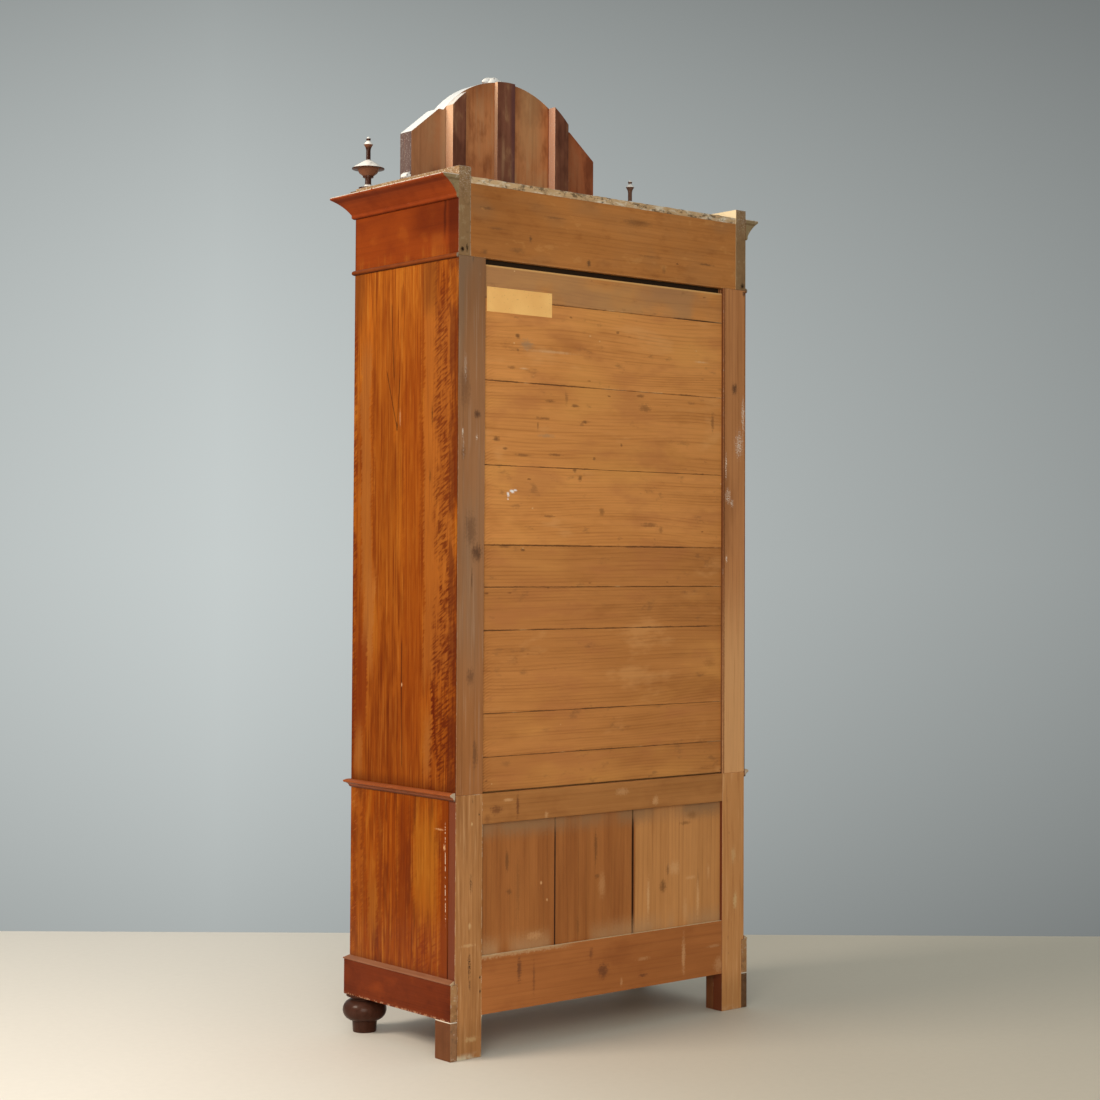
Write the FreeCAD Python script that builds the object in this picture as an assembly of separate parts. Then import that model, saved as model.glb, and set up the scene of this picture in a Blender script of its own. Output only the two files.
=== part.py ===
"""Tall wardrobe with one mirrored door, two drawers, a cornice box and an arched crest.

Millimetres, +Z up. X runs along the width, the door faces -Y, the boarded back faces +Y.
The origin is on the floor, in the middle of the width and of the overall depth.
"""
import FreeCAD
import Part
import math
import os

V = FreeCAD.Vector
os.makedirs("parts", exist_ok=True)

# Overall
case_width = 1050.0
case_depth = 468.0
waist_height = 676.0
frieze_bottom = 2069.0
overrun = 30.0
board_gap = 1.0
running_gap = 0.3
full_turn = 360.0

# Posts, stiles and side panels
veneer_thickness = 2.0
post_width = 88.0
post_thickness = 35.0
stile_width = 105.0
stile_thickness = 28.0
side_thickness = 20.0
base_veneer_setback = 29.0

# Legs, feet and plinth
leg_height = 100.0
leg_depth = 65.0
plinth_height = 95.0
plinth_thickness = 22.0
plinth_projection = 11.0
plinth_cap_height = 11.0
plinth_cap_nosing = 2.5
plinth_cap_edge = 3.0
foot_radius = 60.0
foot_inset = 41.0
foot_shares = [
    [(0.0, 0.0), (0.53, 0.0)],
    [(0.53, 0.0), (0.57, 0.31)],
    [(0.57, 0.31), (1.0, 0.596), (0.60, 0.88)],
    [(0.60, 0.88), (0.60, 0.91)],
    [(0.60, 0.91), (0.84, 0.97)],
    [(0.84, 0.97), (0.84, 1.0)],
    [(0.84, 1.0), (0.0, 1.0)],
]

# Back of the lower case
back_rail_thickness = 22.0
back_top_rail_height = 79.0
back_low_rail_bottom = 107.0
back_low_rail_height = 151.0
base_board_thickness = 12.0
base_board_recess = 10.0
board_lap = 12.0
base_split_shares = (0.416, -0.228)
base_split_gaps = (2.0, 5.0)

# Back of the upper case
back_board_thickness = 14.0
back_board_recess = 8.0
back_board_bottom_gap = 4.0
back_board_top_gap = 14.0
back_board_shares = (0.0647, 0.0822, 0.1571, 0.0822, 0.08, 0.152, 0.1615, 0.1571, 0.0632)

# Waist moulding and frieze bead
waist_below = 14.0
waist_above = 7.0
waist_projection = 16.0
waist_quirk = 2.0
waist_crown = 8.0
bead_below = 7.0
bead_above = 7.0
bead_projection = 7.0

# Case boards
case_board_thickness = 22.0
door_sill_height = 40.0
door_header_height = 50.0
door_stop_depth = 14.0
door_stop_lip = 12.0

# Cornice box
hat_side_thickness = 40.0
hat_side_height = 233.0
hat_back_height = 191.0
hat_back_thickness = 20.0
hat_top_thickness = 18.0
cornice_height = 61.0
cornice_projection = 51.0
cornice_fillet = 6.0
cornice_cove_share = 0.82
cornice_bed = 8.0
cornice_bed_step = 4.0
cornice_nib = 2.0
crest_base_thickness = 24.0
crest_base_inset = 14.0
crest_base_round = 8.0

# Crest
crest_end_inset = 185.0
crest_end_height = 188.0
crest_shoulder_run = 95.0
crest_shoulder_rise = 77.0
crest_shoulder_step = 17.0
crest_crown_rise = 109.0
crest_setback = 4.0
crest_thickness = 54.0
crest_frame_thickness = 22.0
crest_frame_band = 44.0
left_batten_inset = 121.0
left_batten_width = 48.0
left_batten_depth = 33.0
centre_batten_offset = 10.0
centre_batten_width = 66.0
centre_batten_depth = 15.0
right_batten_inset = 124.0
right_batten_width = 53.0
right_batten_depth = 30.0

# Carving on the crest
palmette_thickness = 16.0
palmette_rise = 27.0
petal_length = 92.0
petal_width = 64.0
petal_turns = (-68.0, -34.0, 0.0, 34.0, 68.0)
petal_fall_share = 0.34
petal_belly_share = 0.55
boss_radius = 21.0
boss_rise = 5.0
scroll_height = 73.0
scroll_reach = 52.0
scroll_eye_radius = 14.0
scroll_thickness = 28.0
scroll_setback = 22.0
scroll_sweep_share = 0.33

# Finials
finial_height = 152.0
finial_radius = 45.0
finial_inset = 37.0
finial_y = 6.0
finial_shares = [
    [(0.0, 0.0), (0.58, 0.0)],
    [(0.58, 0.0), (0.58, 0.05)],
    [(0.58, 0.05), (0.30, 0.068), (0.19, 0.12)],
    [(0.19, 0.12), (0.19, 0.235)],
    [(0.19, 0.235), (0.33, 0.235)],
    [(0.33, 0.235), (0.33, 0.265)],
    [(0.33, 0.265), (0.55, 0.315)],
    [(0.55, 0.315), (0.69, 0.39)],
    [(0.69, 0.39), (1.0, 0.39)],
    [(1.0, 0.39), (1.0, 0.405)],
    [(1.0, 0.405), (0.45, 0.51)],
    [(0.45, 0.51), (0.14, 0.56)],
    [(0.14, 0.56), (0.14, 0.70)],
    [(0.14, 0.70), (0.18, 0.785), (0.29, 0.84)],
    [(0.29, 0.84), (0.11, 0.91)],
    [(0.11, 0.91), (0.15, 0.95)],
    [(0.15, 0.95), (0.0, 1.0)],
]

# Inside of the upper case
hat_space_height = 179.0
shelf_thickness = 18.0
shelf_front_setback = 60.0
shelf_side_gap = 1.0
cleat_width = 20.0
cleat_height = 22.0
rail_radius = 14.0
rail_drop = 62.0
rail_clearance = 0.3
socket_width = 60.0
socket_thickness = 18.0
socket_depth = 12.0

# Door
door_gap = 2.0
door_thickness = 28.0
door_stile_width = 75.0
door_bottom_rail_height = 95.0
door_top_rail_height = 132.0
door_arch_rise = 62.0
sight_depth = 10.0
mirror_lap = 9.0
mirror_thickness = 4.0
backing_thickness = 8.0
sight_bead_width = 14.0
sight_bead_proud = 4.0
sight_bead_lip = 3.0

# Door hinges
hinge_shares = (0.09, 0.5, 0.91)
knuckle_radius = 7.0
knuckle_length = 38.0
knuckle_standoff = 0.5
hinge_pin_radius = 3.5
hinge_pin_clearance = 0.05
hinge_pin_length = 34.0
hinge_tip_radius = 5.5
hinge_tip_end = 3.0
hinge_tip_height = 4.0
leaf_thickness = 1.6
leaf_width = 22.0

# Door lock, key and keep
lock_height_share = 0.47
lock_width = 58.0
lock_height = 82.0
lock_depth = 15.0
lock_wall = 1.5
selvedge_height = 106.0
selvedge_width = 19.0
selvedge_thickness = 2.0
bolt_height = 20.0
bolt_thickness = 8.0
bolt_length = 44.0
bolt_travel = 12.0
bolt_setback = 0.5
bolt_rise = 15.0
talon_depth = 5.5
talon_width = 17.0
key_backset = 34.0
key_radius = 3.0
key_clearance = 0.1
key_bit_length = 9.0
key_bit_width = 6.0
key_bit_thickness = 3.0
key_shank_out = 16.0
key_bow_radius = 15.0
key_bow_bar = 2.6
key_slot_width = 4.0
key_collar_radius = 4.6
key_collar_length = 3.0
escutcheon_half_height = 27.0
escutcheon_half_width = 13.0
escutcheon_thickness = 1.5
keep_height = 60.0
keep_width = 18.0
keep_thickness = 2.0
keep_clearance = 1.0
keep_mortise_depth = 14.0

# Drawers
drawer_low_rail_height = 60.0
drawer_opening_bottom = 210.0
drawer_top_rail_height = 36.0
drawer_middle_rail_height = 20.0
drawer_gap = 1.5
drawer_front_thickness = 22.0
drawer_side_gap = 2.0
drawer_side_thickness = 14.0
drawer_side_drop = 22.0
drawer_lap = 12.0
drawer_back_clearance = 46.0
drawer_back_thickness = 12.0
drawer_bottom_thickness = 8.0
drawer_bottom_lift = 10.0
drawer_groove = 6.0
runner_width = 106.0
runner_thickness = 20.0
guide_height = 20.0
knob_radius = 19.0
knob_length = 34.0
knob_spigot_radius = 7.0
knob_spigot_length = 16.0
knob_place_share = 0.56
knob_shares = [
    [(0.0, 0.0), (0.60, 0.0)],
    [(0.60, 0.0), (0.43, 0.12)],
    [(0.43, 0.12), (0.50, 0.48)],
    [(0.50, 0.48), (0.92, 0.56)],
    [(0.92, 0.56), (1.0, 0.72), (0.80, 0.90)],
    [(0.80, 0.90), (0.35, 1.0)],
    [(0.35, 1.0), (0.0, 1.0)],
]

# Places worked out from the sizes above
half = case_width / 2
crest_front_overhang = crest_thickness - crest_setback
overall_depth = case_depth + crest_front_overhang + palmette_thickness
back = overall_depth / 2
front = back - case_depth
core_half = half - veneer_thickness
post_inner = core_half - post_width
post_front = back - post_thickness
side_inner = core_half - side_thickness
opening_half = core_half - stile_width
stile_back = front + stile_thickness
plinth_top = leg_height + plinth_height
plinth_outer = half + plinth_projection
plinth_inner = plinth_outer - plinth_thickness
cap_top = plinth_top + plinth_cap_height
finial_x = half - finial_inset
crest_half_width = half - crest_end_inset
crest_crown_half = crest_half_width - crest_shoulder_run - crest_shoulder_step
crest_shoulder_height = crest_end_height + crest_shoulder_rise
crest_top_height = crest_shoulder_height + crest_crown_rise
hat_inner = half - hat_side_thickness
hat_side_top = frieze_bottom + hat_side_height
hat_back_top = frieze_bottom + hat_back_height
cornice_top = hat_back_top + hat_top_thickness
crest_back = front + crest_setback
crest_front = front - crest_front_overhang
frame_back = crest_front + crest_frame_thickness
door_bottom = waist_height + door_sill_height + door_gap
door_top = frieze_bottom - door_header_height - door_gap
door_half = opening_half - door_gap
door_back = front + door_thickness
sight_half = door_half - door_stile_width
sight_bottom = door_bottom + door_bottom_rail_height
sight_shoulder = door_top - door_top_rail_height
sight_crown = sight_shoulder + door_arch_rise
hinge_x = -opening_half + door_gap / 2
hinge_y = front - knuckle_radius - knuckle_standoff
lock_middle = door_bottom + (door_top - door_bottom) * lock_height_share
key_x = door_half - key_backset
key_z = lock_middle - bolt_rise
drawer_opening_top = waist_height - drawer_top_rail_height
drawer_opening = (drawer_opening_top - drawer_opening_bottom - drawer_middle_rail_height) / 2
upper_drawer_bottom = drawer_opening_bottom + drawer_opening + drawer_middle_rail_height
drawer_length = case_depth - back_rail_thickness - drawer_back_clearance
shelf_height = frieze_bottom - case_board_thickness - hat_space_height - shelf_thickness
rail_height = shelf_height - rail_drop
rail_y = (front + back) / 2


def block(x_low, x_high, y_low, y_high, z_low, z_high):
    return Part.makeBox(x_high - x_low, y_high - y_low, z_high - z_low, V(x_low, y_low, z_low))


def rod(radius, start, direction):
    return Part.makeCylinder(radius, direction.Length, start, direction)


def twin(shape):
    return [shape, shape.mirror(V(0, 0, 0), V(1, 0, 0))]


def outline(start, moves, place):
    """A face from lines, given as (u, v), and arcs, given as (u, v of a middle point, u, v)."""
    edges = []
    here = place(*start)
    for move in moves:
        there = place(*move[-2:])
        if len(move) == len(start):
            edges.append(Part.makeLine(here, there))
        else:
            edges.append(Part.Arc(here, place(*move[:2]), there).toShape())
        here = there
    return Part.Face(Part.Wire(edges))


def turned(runs, radius, height, base, axis):
    """A solid turned about an axis. Each run of its profile holds shares of the radius and the height.

    A run of two points is straight, and a run of three is an arc.
    """
    edges = [Part.makeLine(V(0, 0, height), V(0, 0, 0))]
    for run in runs:
        points = [V(share_out * radius, 0, share_up * height) for share_out, share_up in run]
        curve = Part.Arc if points[1:-1] else Part.LineSegment
        edges.append(curve(*points).toShape())
    solid = Part.Face(Part.Wire(Part.__sortEdges__(edges))).revolve(V(0, 0, 0), V(0, 0, 1), full_turn)
    solid.Placement = FreeCAD.Placement(base, FreeCAD.Rotation(V(0, 0, 1), axis))
    return solid


def plan_prism(corners, z_low, z_high):
    ring = [V(x, y, z_low) for x, y in corners]
    return Part.Face(Part.makePolygon(ring + ring[:1])).extrude(V(0, 0, z_high - z_low))


def mitred(start, moves, inward, reach, z_low, z_high):
    """A moulding round the front and both sides, mitred at the front corners, open at the back.

    The profile is given as (distance out from the case's face, height).
    """
    far = reach + overrun
    low = z_low - overrun
    high = z_high + overrun
    along = outline(start, moves, lambda out, z: V(-half - far, front - out, z))
    along = along.extrude(V(case_width + 2 * far, 0, 0))
    across = outline(start, moves, lambda out, z: V(half + out, front - far, z))
    across = across.extrude(V(0, back - front + far, 0))
    mitre_in = (half - inward, front + inward)
    mitre_out = (half + far, front - far)
    mirrored_in = (-mitre_in[0], mitre_in[1])
    mirrored_out = (-mitre_out[0], mitre_out[1])
    front_plan = plan_prism([mirrored_in, mitre_in, mitre_out, mirrored_out], low, high)
    side_plan = plan_prism([mitre_in, (mitre_in[0], back), (mitre_out[0], back), mitre_out], low, high)
    return [along.common(front_plan)] + twin(across.common(side_plan))


def save(node, shapes):
    shapes = [solid for shape in shapes for solid in shape.Solids]
    Part.makeCompound(shapes).exportStep("parts/" + node + ".step")


# Plinth, mouldings and feet
def plinth_boards():
    inner = plinth_projection - plinth_thickness
    profile = [(plinth_projection, leg_height), (plinth_projection, plinth_top), (inner, plinth_top)]
    return mitred((inner, leg_height), profile + [(inner, leg_height)], -inner, plinth_projection,
                  leg_height, plinth_top)


def plinth_moulding():
    nose = plinth_projection + plinth_cap_nosing
    edge_top = plinth_top + plinth_cap_edge
    profile = [(nose, plinth_top), (nose, edge_top), (0, cap_top), (0, plinth_top)]
    return mitred((0, plinth_top), profile, 0, nose, plinth_top, cap_top)


def waist_moulding():
    low = waist_height - waist_below
    high = waist_height + waist_above
    quirk = waist_quirk
    nose = waist_projection
    lip_top = waist_height + quirk + quirk
    profile = [
        (quirk, low), (quirk + quirk, low + quirk),
        (quirk + quirk + quirk, low + waist_below / 2, nose - quirk, waist_height - quirk),
        (nose, waist_height), (nose, lip_top), (nose - quirk, lip_top), (waist_crown, high, 0, high), (0, low),
    ]
    return mitred((0, low), profile, 0, waist_projection, low, high)


def frieze_bead():
    low = frieze_bottom - bead_below
    high = frieze_bottom + bead_above
    profile = [(bead_projection, frieze_bottom, 0, high), (0, low)]
    return mitred((0, low), profile, 0, bead_projection, low, high)


def cornice_moulding():
    low = cornice_top - cornice_height
    cove_top = cornice_top - cornice_fillet - cornice_fillet
    cove_out = cornice_projection * cornice_cove_share
    cove_low = low + cornice_bed + cornice_bed_step
    middle_out = (cornice_bed + cove_out) / 2 - cornice_nib
    middle_z = (cove_low + cove_top) / 2 + cornice_nib
    profile = [
        (cornice_bed - cornice_nib, low + cornice_nib, cornice_bed, low + cornice_bed),
        (cornice_bed, cove_low), (middle_out, middle_z, cove_out, cove_top),
        (cornice_projection, cornice_top - cornice_fillet), (cornice_projection, cornice_top),
        (0, cornice_top), (0, low),
    ]
    return mitred((0, low), profile, 0, cornice_projection, low, cornice_top)


def bun_feet():
    centre = V(plinth_outer - foot_inset, front - plinth_projection + foot_inset, 0)
    return twin(turned(foot_shares, foot_radius, leg_height, centre, V(0, 0, 1)))


# Lower case
def leg_packing():
    leg_front = back - leg_depth
    outer = block(plinth_inner, plinth_outer, leg_front, back, 0, leg_height)
    ahead = block(post_inner, plinth_inner, leg_front, post_front, 0, leg_height)
    return twin(outer) + twin(ahead)


def base_board_space():
    y_high = back - base_board_recess
    x_high = post_inner + board_lap
    low = back_low_rail_bottom + back_low_rail_height - board_lap
    high = waist_height - back_top_rail_height + board_lap
    return block(-x_high, x_high, y_high - base_board_thickness, y_high, low, high)


def base_posts(plinth):
    post = block(post_inner, core_half, post_front, back, 0, waist_height)
    foot_cut = block(plinth_inner, core_half, post_front, back, 0, leg_height)
    post = post.cut(foot_cut).cut(plinth).cut(base_board_space())
    return twin(post)


def base_stiles(plinth):
    return twin(block(opening_half, core_half, front, stile_back, leg_height, waist_height).cut(plinth))


def base_sides(plinth):
    panel = block(side_inner, core_half, stile_back, post_front, leg_height, waist_height)
    return twin(panel.cut(plinth))


def base_veneers():
    return twin(block(core_half, half, front, back - base_veneer_setback, plinth_top, waist_height))


def back_rail(z_low, z_high):
    rail = block(-post_inner, post_inner, back - back_rail_thickness, back, z_low, z_high)
    return [rail.cut(base_board_space())]


def base_back_boards():
    space = base_board_space().BoundBox
    edges = [space.XMax] + [share * post_inner for share in base_split_shares] + [space.XMin]
    gaps = (0.0,) + base_split_gaps + (0.0,)
    boards = []
    for i in range(len(edges) - 1):
        x_high = edges[i] - gaps[i] / 2
        x_low = edges[i + 1] + gaps[i + 1] / 2
        boards.append(block(x_low, x_high, space.YMin, space.YMax, space.ZMin, space.ZMax))
    return boards


def drawer_rails(plinth):
    low_rail_bottom = drawer_opening_bottom - drawer_low_rail_height
    middle = drawer_opening_bottom + drawer_opening
    spans = [(low_rail_bottom, drawer_opening_bottom), (middle, upper_drawer_bottom),
             (drawer_opening_top, waist_height)]
    return [block(-opening_half, opening_half, front, stile_back, low, high).cut(plinth) for low, high in spans]


def drawer_runners():
    pieces = []
    for level in (drawer_opening_bottom, upper_drawer_bottom):
        runner_inner = side_inner - runner_width
        pieces += twin(block(runner_inner, side_inner, stile_back, post_front, level - runner_thickness, level))
        pieces += twin(block(opening_half, side_inner, stile_back, post_front, level, level + guide_height))
    return pieces


# Upper case
def back_board_space():
    y_high = back - back_board_recess
    x_high = post_inner + board_lap
    low = waist_height + back_board_bottom_gap
    high = frieze_bottom - back_board_top_gap
    return block(-x_high, x_high, y_high - back_board_thickness, y_high, low, high)


def upper_posts():
    post = block(post_inner, core_half, post_front, back, waist_height, frieze_bottom)
    space = back_board_space().BoundBox
    groove = block(-space.XMax, space.XMax, space.YMin, space.YMax, waist_height, frieze_bottom)
    return twin(post.cut(groove))


def keep_space(depth, height, width):
    y_low = door_back - lock_depth / 2 - width / 2
    return block(opening_half, opening_half + depth, y_low, y_low + width,
                 lock_middle - height / 2, lock_middle + height / 2)


def upper_stiles(hinge_leaves):
    stile = block(opening_half, core_half, front, stile_back, waist_height, frieze_bottom)
    right, left = twin(stile)
    mortise = keep_space(keep_mortise_depth, bolt_height + 2 * keep_clearance, bolt_thickness + 2 * keep_clearance)
    right = right.cut(keep_space(keep_thickness, keep_height, keep_width)).cut(mortise)
    for leaf in hinge_leaves:
        left = left.cut(leaf)
    return [right, left]


def upper_sides():
    return twin(block(side_inner, core_half, stile_back, post_front, waist_height, frieze_bottom))


def upper_veneers():
    return twin(block(core_half, half, front, back, waist_height, frieze_bottom))


def upper_back_boards():
    space = back_board_space().BoundBox
    boards = []
    low = space.ZMin
    for share in back_board_shares:
        high = low + share * space.ZLength / sum(back_board_shares)
        boards.append(block(space.XMin, space.XMax, space.YMin, space.YMax, low, high - board_gap))
        low = high
    return boards


def case_board(z_low):
    board_back = back_board_space().BoundBox.YMin
    board = block(-side_inner, side_inner, stile_back, board_back, z_low, z_low + case_board_thickness)
    for post in twin(block(post_inner, core_half, post_front, back, z_low, z_low + case_board_thickness)):
        board = board.cut(post)
    return board


def stop_lip(z_low, z_high):
    stop_front = door_back + running_gap
    return block(-opening_half, opening_half, stop_front, stop_front + door_stop_depth, z_low, z_high)


def door_frame_rails():
    sill_top = waist_height + door_sill_height
    header_bottom = frieze_bottom - door_header_height
    sill = block(-opening_half, opening_half, front, stile_back, waist_height, sill_top)
    header = block(-opening_half, opening_half, front, stile_back, header_bottom, frieze_bottom)
    floor_top = waist_height + case_board_thickness
    ceiling = frieze_bottom - case_board_thickness
    neck = block(-opening_half, opening_half, stile_back, door_back + running_gap, floor_top, sill_top)
    sill = sill.fuse([neck, stop_lip(floor_top, sill_top + door_stop_lip)]).removeSplitter()
    neck = block(-opening_half, opening_half, stile_back, door_back + running_gap, header_bottom, ceiling)
    header = header.fuse([neck, stop_lip(header_bottom - door_stop_lip, ceiling)]).removeSplitter()
    return [sill, header]


def hat_shelf():
    x_high = side_inner - shelf_side_gap
    y_low = stile_back + shelf_front_setback
    return block(-x_high, x_high, y_low, post_front - shelf_side_gap, shelf_height, shelf_height + shelf_thickness)


def shelf_cleats():
    y_low = stile_back + shelf_front_setback
    return twin(block(side_inner - cleat_width, side_inner, y_low, post_front - shelf_side_gap,
                      shelf_height - cleat_height, shelf_height))


def rail_sockets():
    socket_face = side_inner - socket_thickness
    reach = socket_width / 2
    socket = block(socket_face, side_inner, rail_y - reach, rail_y + reach,
                   rail_height - reach, rail_height + reach)
    hole = rod(rail_radius + rail_clearance, V(socket_face, rail_y, rail_height), V(socket_depth, 0, 0))
    return twin(socket.cut(hole))


def hanging_rail():
    end = side_inner - socket_thickness + socket_depth - rail_clearance
    return rod(rail_radius, V(-end, rail_y, rail_height), V(2 * end, 0, 0))


# Cornice box
def hat_sides():
    return twin(block(hat_inner, half, front, back, frieze_bottom, hat_side_top))


def hat_back():
    return block(-hat_inner, hat_inner, back - hat_back_thickness, back, frieze_bottom, hat_back_top)


def hat_front():
    return block(-hat_inner, hat_inner, front, front + hat_side_thickness, frieze_bottom, hat_side_top)


def hat_top():
    return block(-hat_inner, hat_inner, front + hat_side_thickness, back, hat_back_top, cornice_top)


def crest_base():
    x_high = half - crest_base_inset
    board = block(-x_high, x_high, crest_front, front, cornice_top, cornice_top + crest_base_thickness)
    nosing = [edge for edge in board.Edges if edge.BoundBox.ZMin > cornice_top and edge.BoundBox.YMax < front]
    return board.makeFillet(crest_base_round, nosing)


# Crest
def crest_outline(y, inset):
    """The crest's outline, drawn in by an even band: sloping ends, level shoulders and a round crown."""
    bottom = hat_side_top + inset
    x_end = crest_half_width - inset
    slope = crest_shoulder_rise / crest_shoulder_run
    line_z = hat_side_top + crest_end_height - inset * math.hypot(slope, 1)
    end_z = line_z + slope * inset
    shoulder_z = hat_side_top + crest_shoulder_height - inset
    shoulder_x = crest_half_width - (shoulder_z - line_z) / slope
    radius = (crest_crown_half ** 2 + crest_crown_rise ** 2) / (2 * crest_crown_rise)
    centre_z = hat_side_top + crest_top_height - radius
    crown_radius = radius - inset
    crown_x = math.sqrt(crown_radius ** 2 - (shoulder_z - centre_z) ** 2)
    moves = [
        (x_end, bottom), (x_end, end_z), (shoulder_x, shoulder_z), (crown_x, shoulder_z),
        (0, centre_z + crown_radius, -crown_x, shoulder_z), (-shoulder_x, shoulder_z),
        (-x_end, end_z), (-x_end, bottom),
    ]
    return outline((-x_end, bottom), moves, lambda x, z: V(x, y, z))


def crest_panel():
    return crest_outline(frame_back, 0).extrude(V(0, crest_back - frame_back, 0))


def crest_frame():
    ring = crest_outline(crest_front, 0).extrude(V(0, crest_frame_thickness, 0))
    hole = crest_outline(crest_front, crest_frame_band).extrude(V(0, crest_frame_thickness, 0))
    return ring.cut(hole)


def crest_battens():
    left_x = crest_half_width - left_batten_inset - left_batten_width
    centre_x = centre_batten_offset - centre_batten_width / 2
    right_x = right_batten_inset - crest_half_width
    bars = [
        (left_x, left_batten_width, left_batten_depth),
        (centre_x, centre_batten_width, centre_batten_depth),
        (right_x, right_batten_width, right_batten_depth),
    ]
    battens = []
    for x_low, width, depth in bars:
        arch = crest_outline(crest_back, 0).extrude(V(0, depth, 0))
        bar = block(x_low, x_low + width, crest_back, crest_back + depth, hat_side_top,
                    hat_side_top + crest_top_height)
        battens.append(bar.common(arch))
    return battens


def petal(turn):
    """One leaf of the fan, between two arcs, turned about its root."""
    length = petal_length * (1 - petal_fall_share * abs(turn / petal_turns[0]))
    side = petal_width / 2
    belly = length * petal_belly_share
    face = outline((0, 0), [(side, belly, 0, length), (-side, belly, 0, 0)], lambda x, z: V(x, crest_front, z))
    leaf = face.extrude(V(0, -palmette_thickness, 0))
    leaf.rotate(V(0, 0, 0), V(0, 1, 0), turn)
    return leaf


def palmette():
    root_z = hat_side_top + crest_top_height + palmette_rise - petal_length
    boss_height = palmette_thickness - boss_rise
    fan = rod(boss_radius, V(0, crest_front, 0), V(0, -boss_height, 0))
    fan = fan.fuse([petal(turn) for turn in petal_turns])
    fan.translate(V(0, 0, root_z))
    return fan


def crest_scrolls():
    """A foot with an eye at its top at each end of the crest."""
    y_low = crest_front + scroll_setback
    eye_z = hat_side_top + scroll_height - scroll_eye_radius
    toe_x = crest_half_width + scroll_reach
    toe_z = hat_side_top + scroll_eye_radius / 2
    sweep_x = crest_half_width + scroll_reach * scroll_sweep_share
    sweep_z = hat_side_top + scroll_height * scroll_sweep_share
    moves = [
        (toe_x, hat_side_top), (toe_x, toe_z),
        (sweep_x, sweep_z, crest_half_width + scroll_eye_radius / 2, eye_z),
        (crest_half_width, eye_z), (crest_half_width, hat_side_top),
    ]
    foot = outline((crest_half_width, hat_side_top), moves, lambda x, z: V(x, y_low, z))
    foot = foot.extrude(V(0, scroll_thickness, 0))
    eye = rod(scroll_eye_radius, V(crest_half_width, y_low, eye_z), V(0, scroll_thickness, 0))
    beyond = block(crest_half_width, toe_x, y_low, y_low + scroll_thickness,
                   hat_side_top, hat_side_top + scroll_height)
    return twin(foot.fuse(eye.common(beyond)).removeSplitter())


def finials():
    foot = V(finial_x, front + finial_y, hat_side_top)
    return twin(turned(finial_shares, finial_radius, finial_height, foot, V(0, 0, 1)))


# Door
def sight_outline(y, grow):
    """The arched opening of the door frame, made larger or smaller all round."""
    x_end = sight_half + grow
    moves = [
        (x_end, sight_bottom - grow), (x_end, sight_shoulder + grow),
        (0, sight_crown + grow, -x_end, sight_shoulder + grow), (-x_end, sight_bottom - grow),
    ]
    return outline((-x_end, sight_bottom - grow), moves, lambda x, z: V(x, y, z))


def mirror_rebate():
    y_low = front + sight_depth
    return sight_outline(y_low, mirror_lap).extrude(V(0, door_back - y_low, 0))


def lock_body():
    """The lock's outer block: the case let into the stile and the plate on the door's edge."""
    case = block(door_half - lock_width, door_half, door_back - lock_depth, door_back,
                 lock_middle - lock_height / 2, lock_middle + lock_height / 2)
    plate = block(door_half - selvedge_thickness, door_half, door_back - selvedge_width, door_back,
                  lock_middle - selvedge_height / 2, lock_middle + selvedge_height / 2)
    return case.fuse(plate).removeSplitter()


def keyhole(radius, slot_width, slot_length, y_low, y_high):
    hole = rod(radius, V(key_x, y_low, key_z), V(0, y_high - y_low, 0))
    slot = block(key_x - slot_width / 2, key_x + slot_width / 2, y_low, y_high, key_z - slot_length, key_z)
    return hole.fuse(slot)


def door_stiles(hinge_leaves):
    right, left = twin(block(sight_half, door_half, front, door_back, door_bottom, door_top))
    rebate = mirror_rebate()
    slot_length = key_bit_length + key_clearance
    hole = keyhole(key_radius + door_gap / 2, key_slot_width + door_gap, slot_length + door_gap / 2,
                   front, door_back)
    right = right.cut(rebate).cut(lock_body()).cut(hole)
    left = left.cut(rebate)
    for leaf in hinge_leaves:
        left = left.cut(leaf)
    return [right, left]


def door_top_rail():
    rail = block(-sight_half, sight_half, front, door_back, sight_shoulder, door_top)
    arch = sight_outline(front, 0).extrude(V(0, door_thickness, 0))
    return rail.cut(arch).cut(mirror_rebate())


def door_bottom_rail():
    rail = block(-sight_half, sight_half, front, door_back, door_bottom, sight_bottom)
    return rail.cut(mirror_rebate())


def door_mirror():
    return sight_outline(front + sight_depth, mirror_lap).extrude(V(0, mirror_thickness, 0))


def door_backing():
    y_low = front + sight_depth + mirror_thickness
    return sight_outline(y_low, mirror_lap).extrude(V(0, backing_thickness, 0))


def sight_bead():
    y_low = front - sight_bead_proud
    ring = sight_outline(y_low, 0).extrude(V(0, sight_depth + sight_bead_proud, 0))
    slope = Part.makeLoft([
        sight_outline(y_low, -sight_bead_lip).OuterWire,
        sight_outline(front + sight_depth - sight_bead_lip, -sight_bead_width).OuterWire,
    ], True, True)
    hole = sight_outline(y_low, -sight_bead_width).extrude(V(0, sight_depth + sight_bead_proud, 0))
    return ring.cut(slope).cut(hole)


# Door hinges
def hinge_levels():
    span = door_top - door_bottom
    return [door_bottom + share * span for share in hinge_shares]


def frame_leaf(level):
    return block(-opening_half - leaf_thickness, -opening_half, hinge_y, front + leaf_width,
                 level - knuckle_length, level)


def door_leaf(level):
    return block(-door_half, -door_half + leaf_thickness, hinge_y, front + leaf_width,
                 level + running_gap, level + running_gap + knuckle_length)


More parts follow.
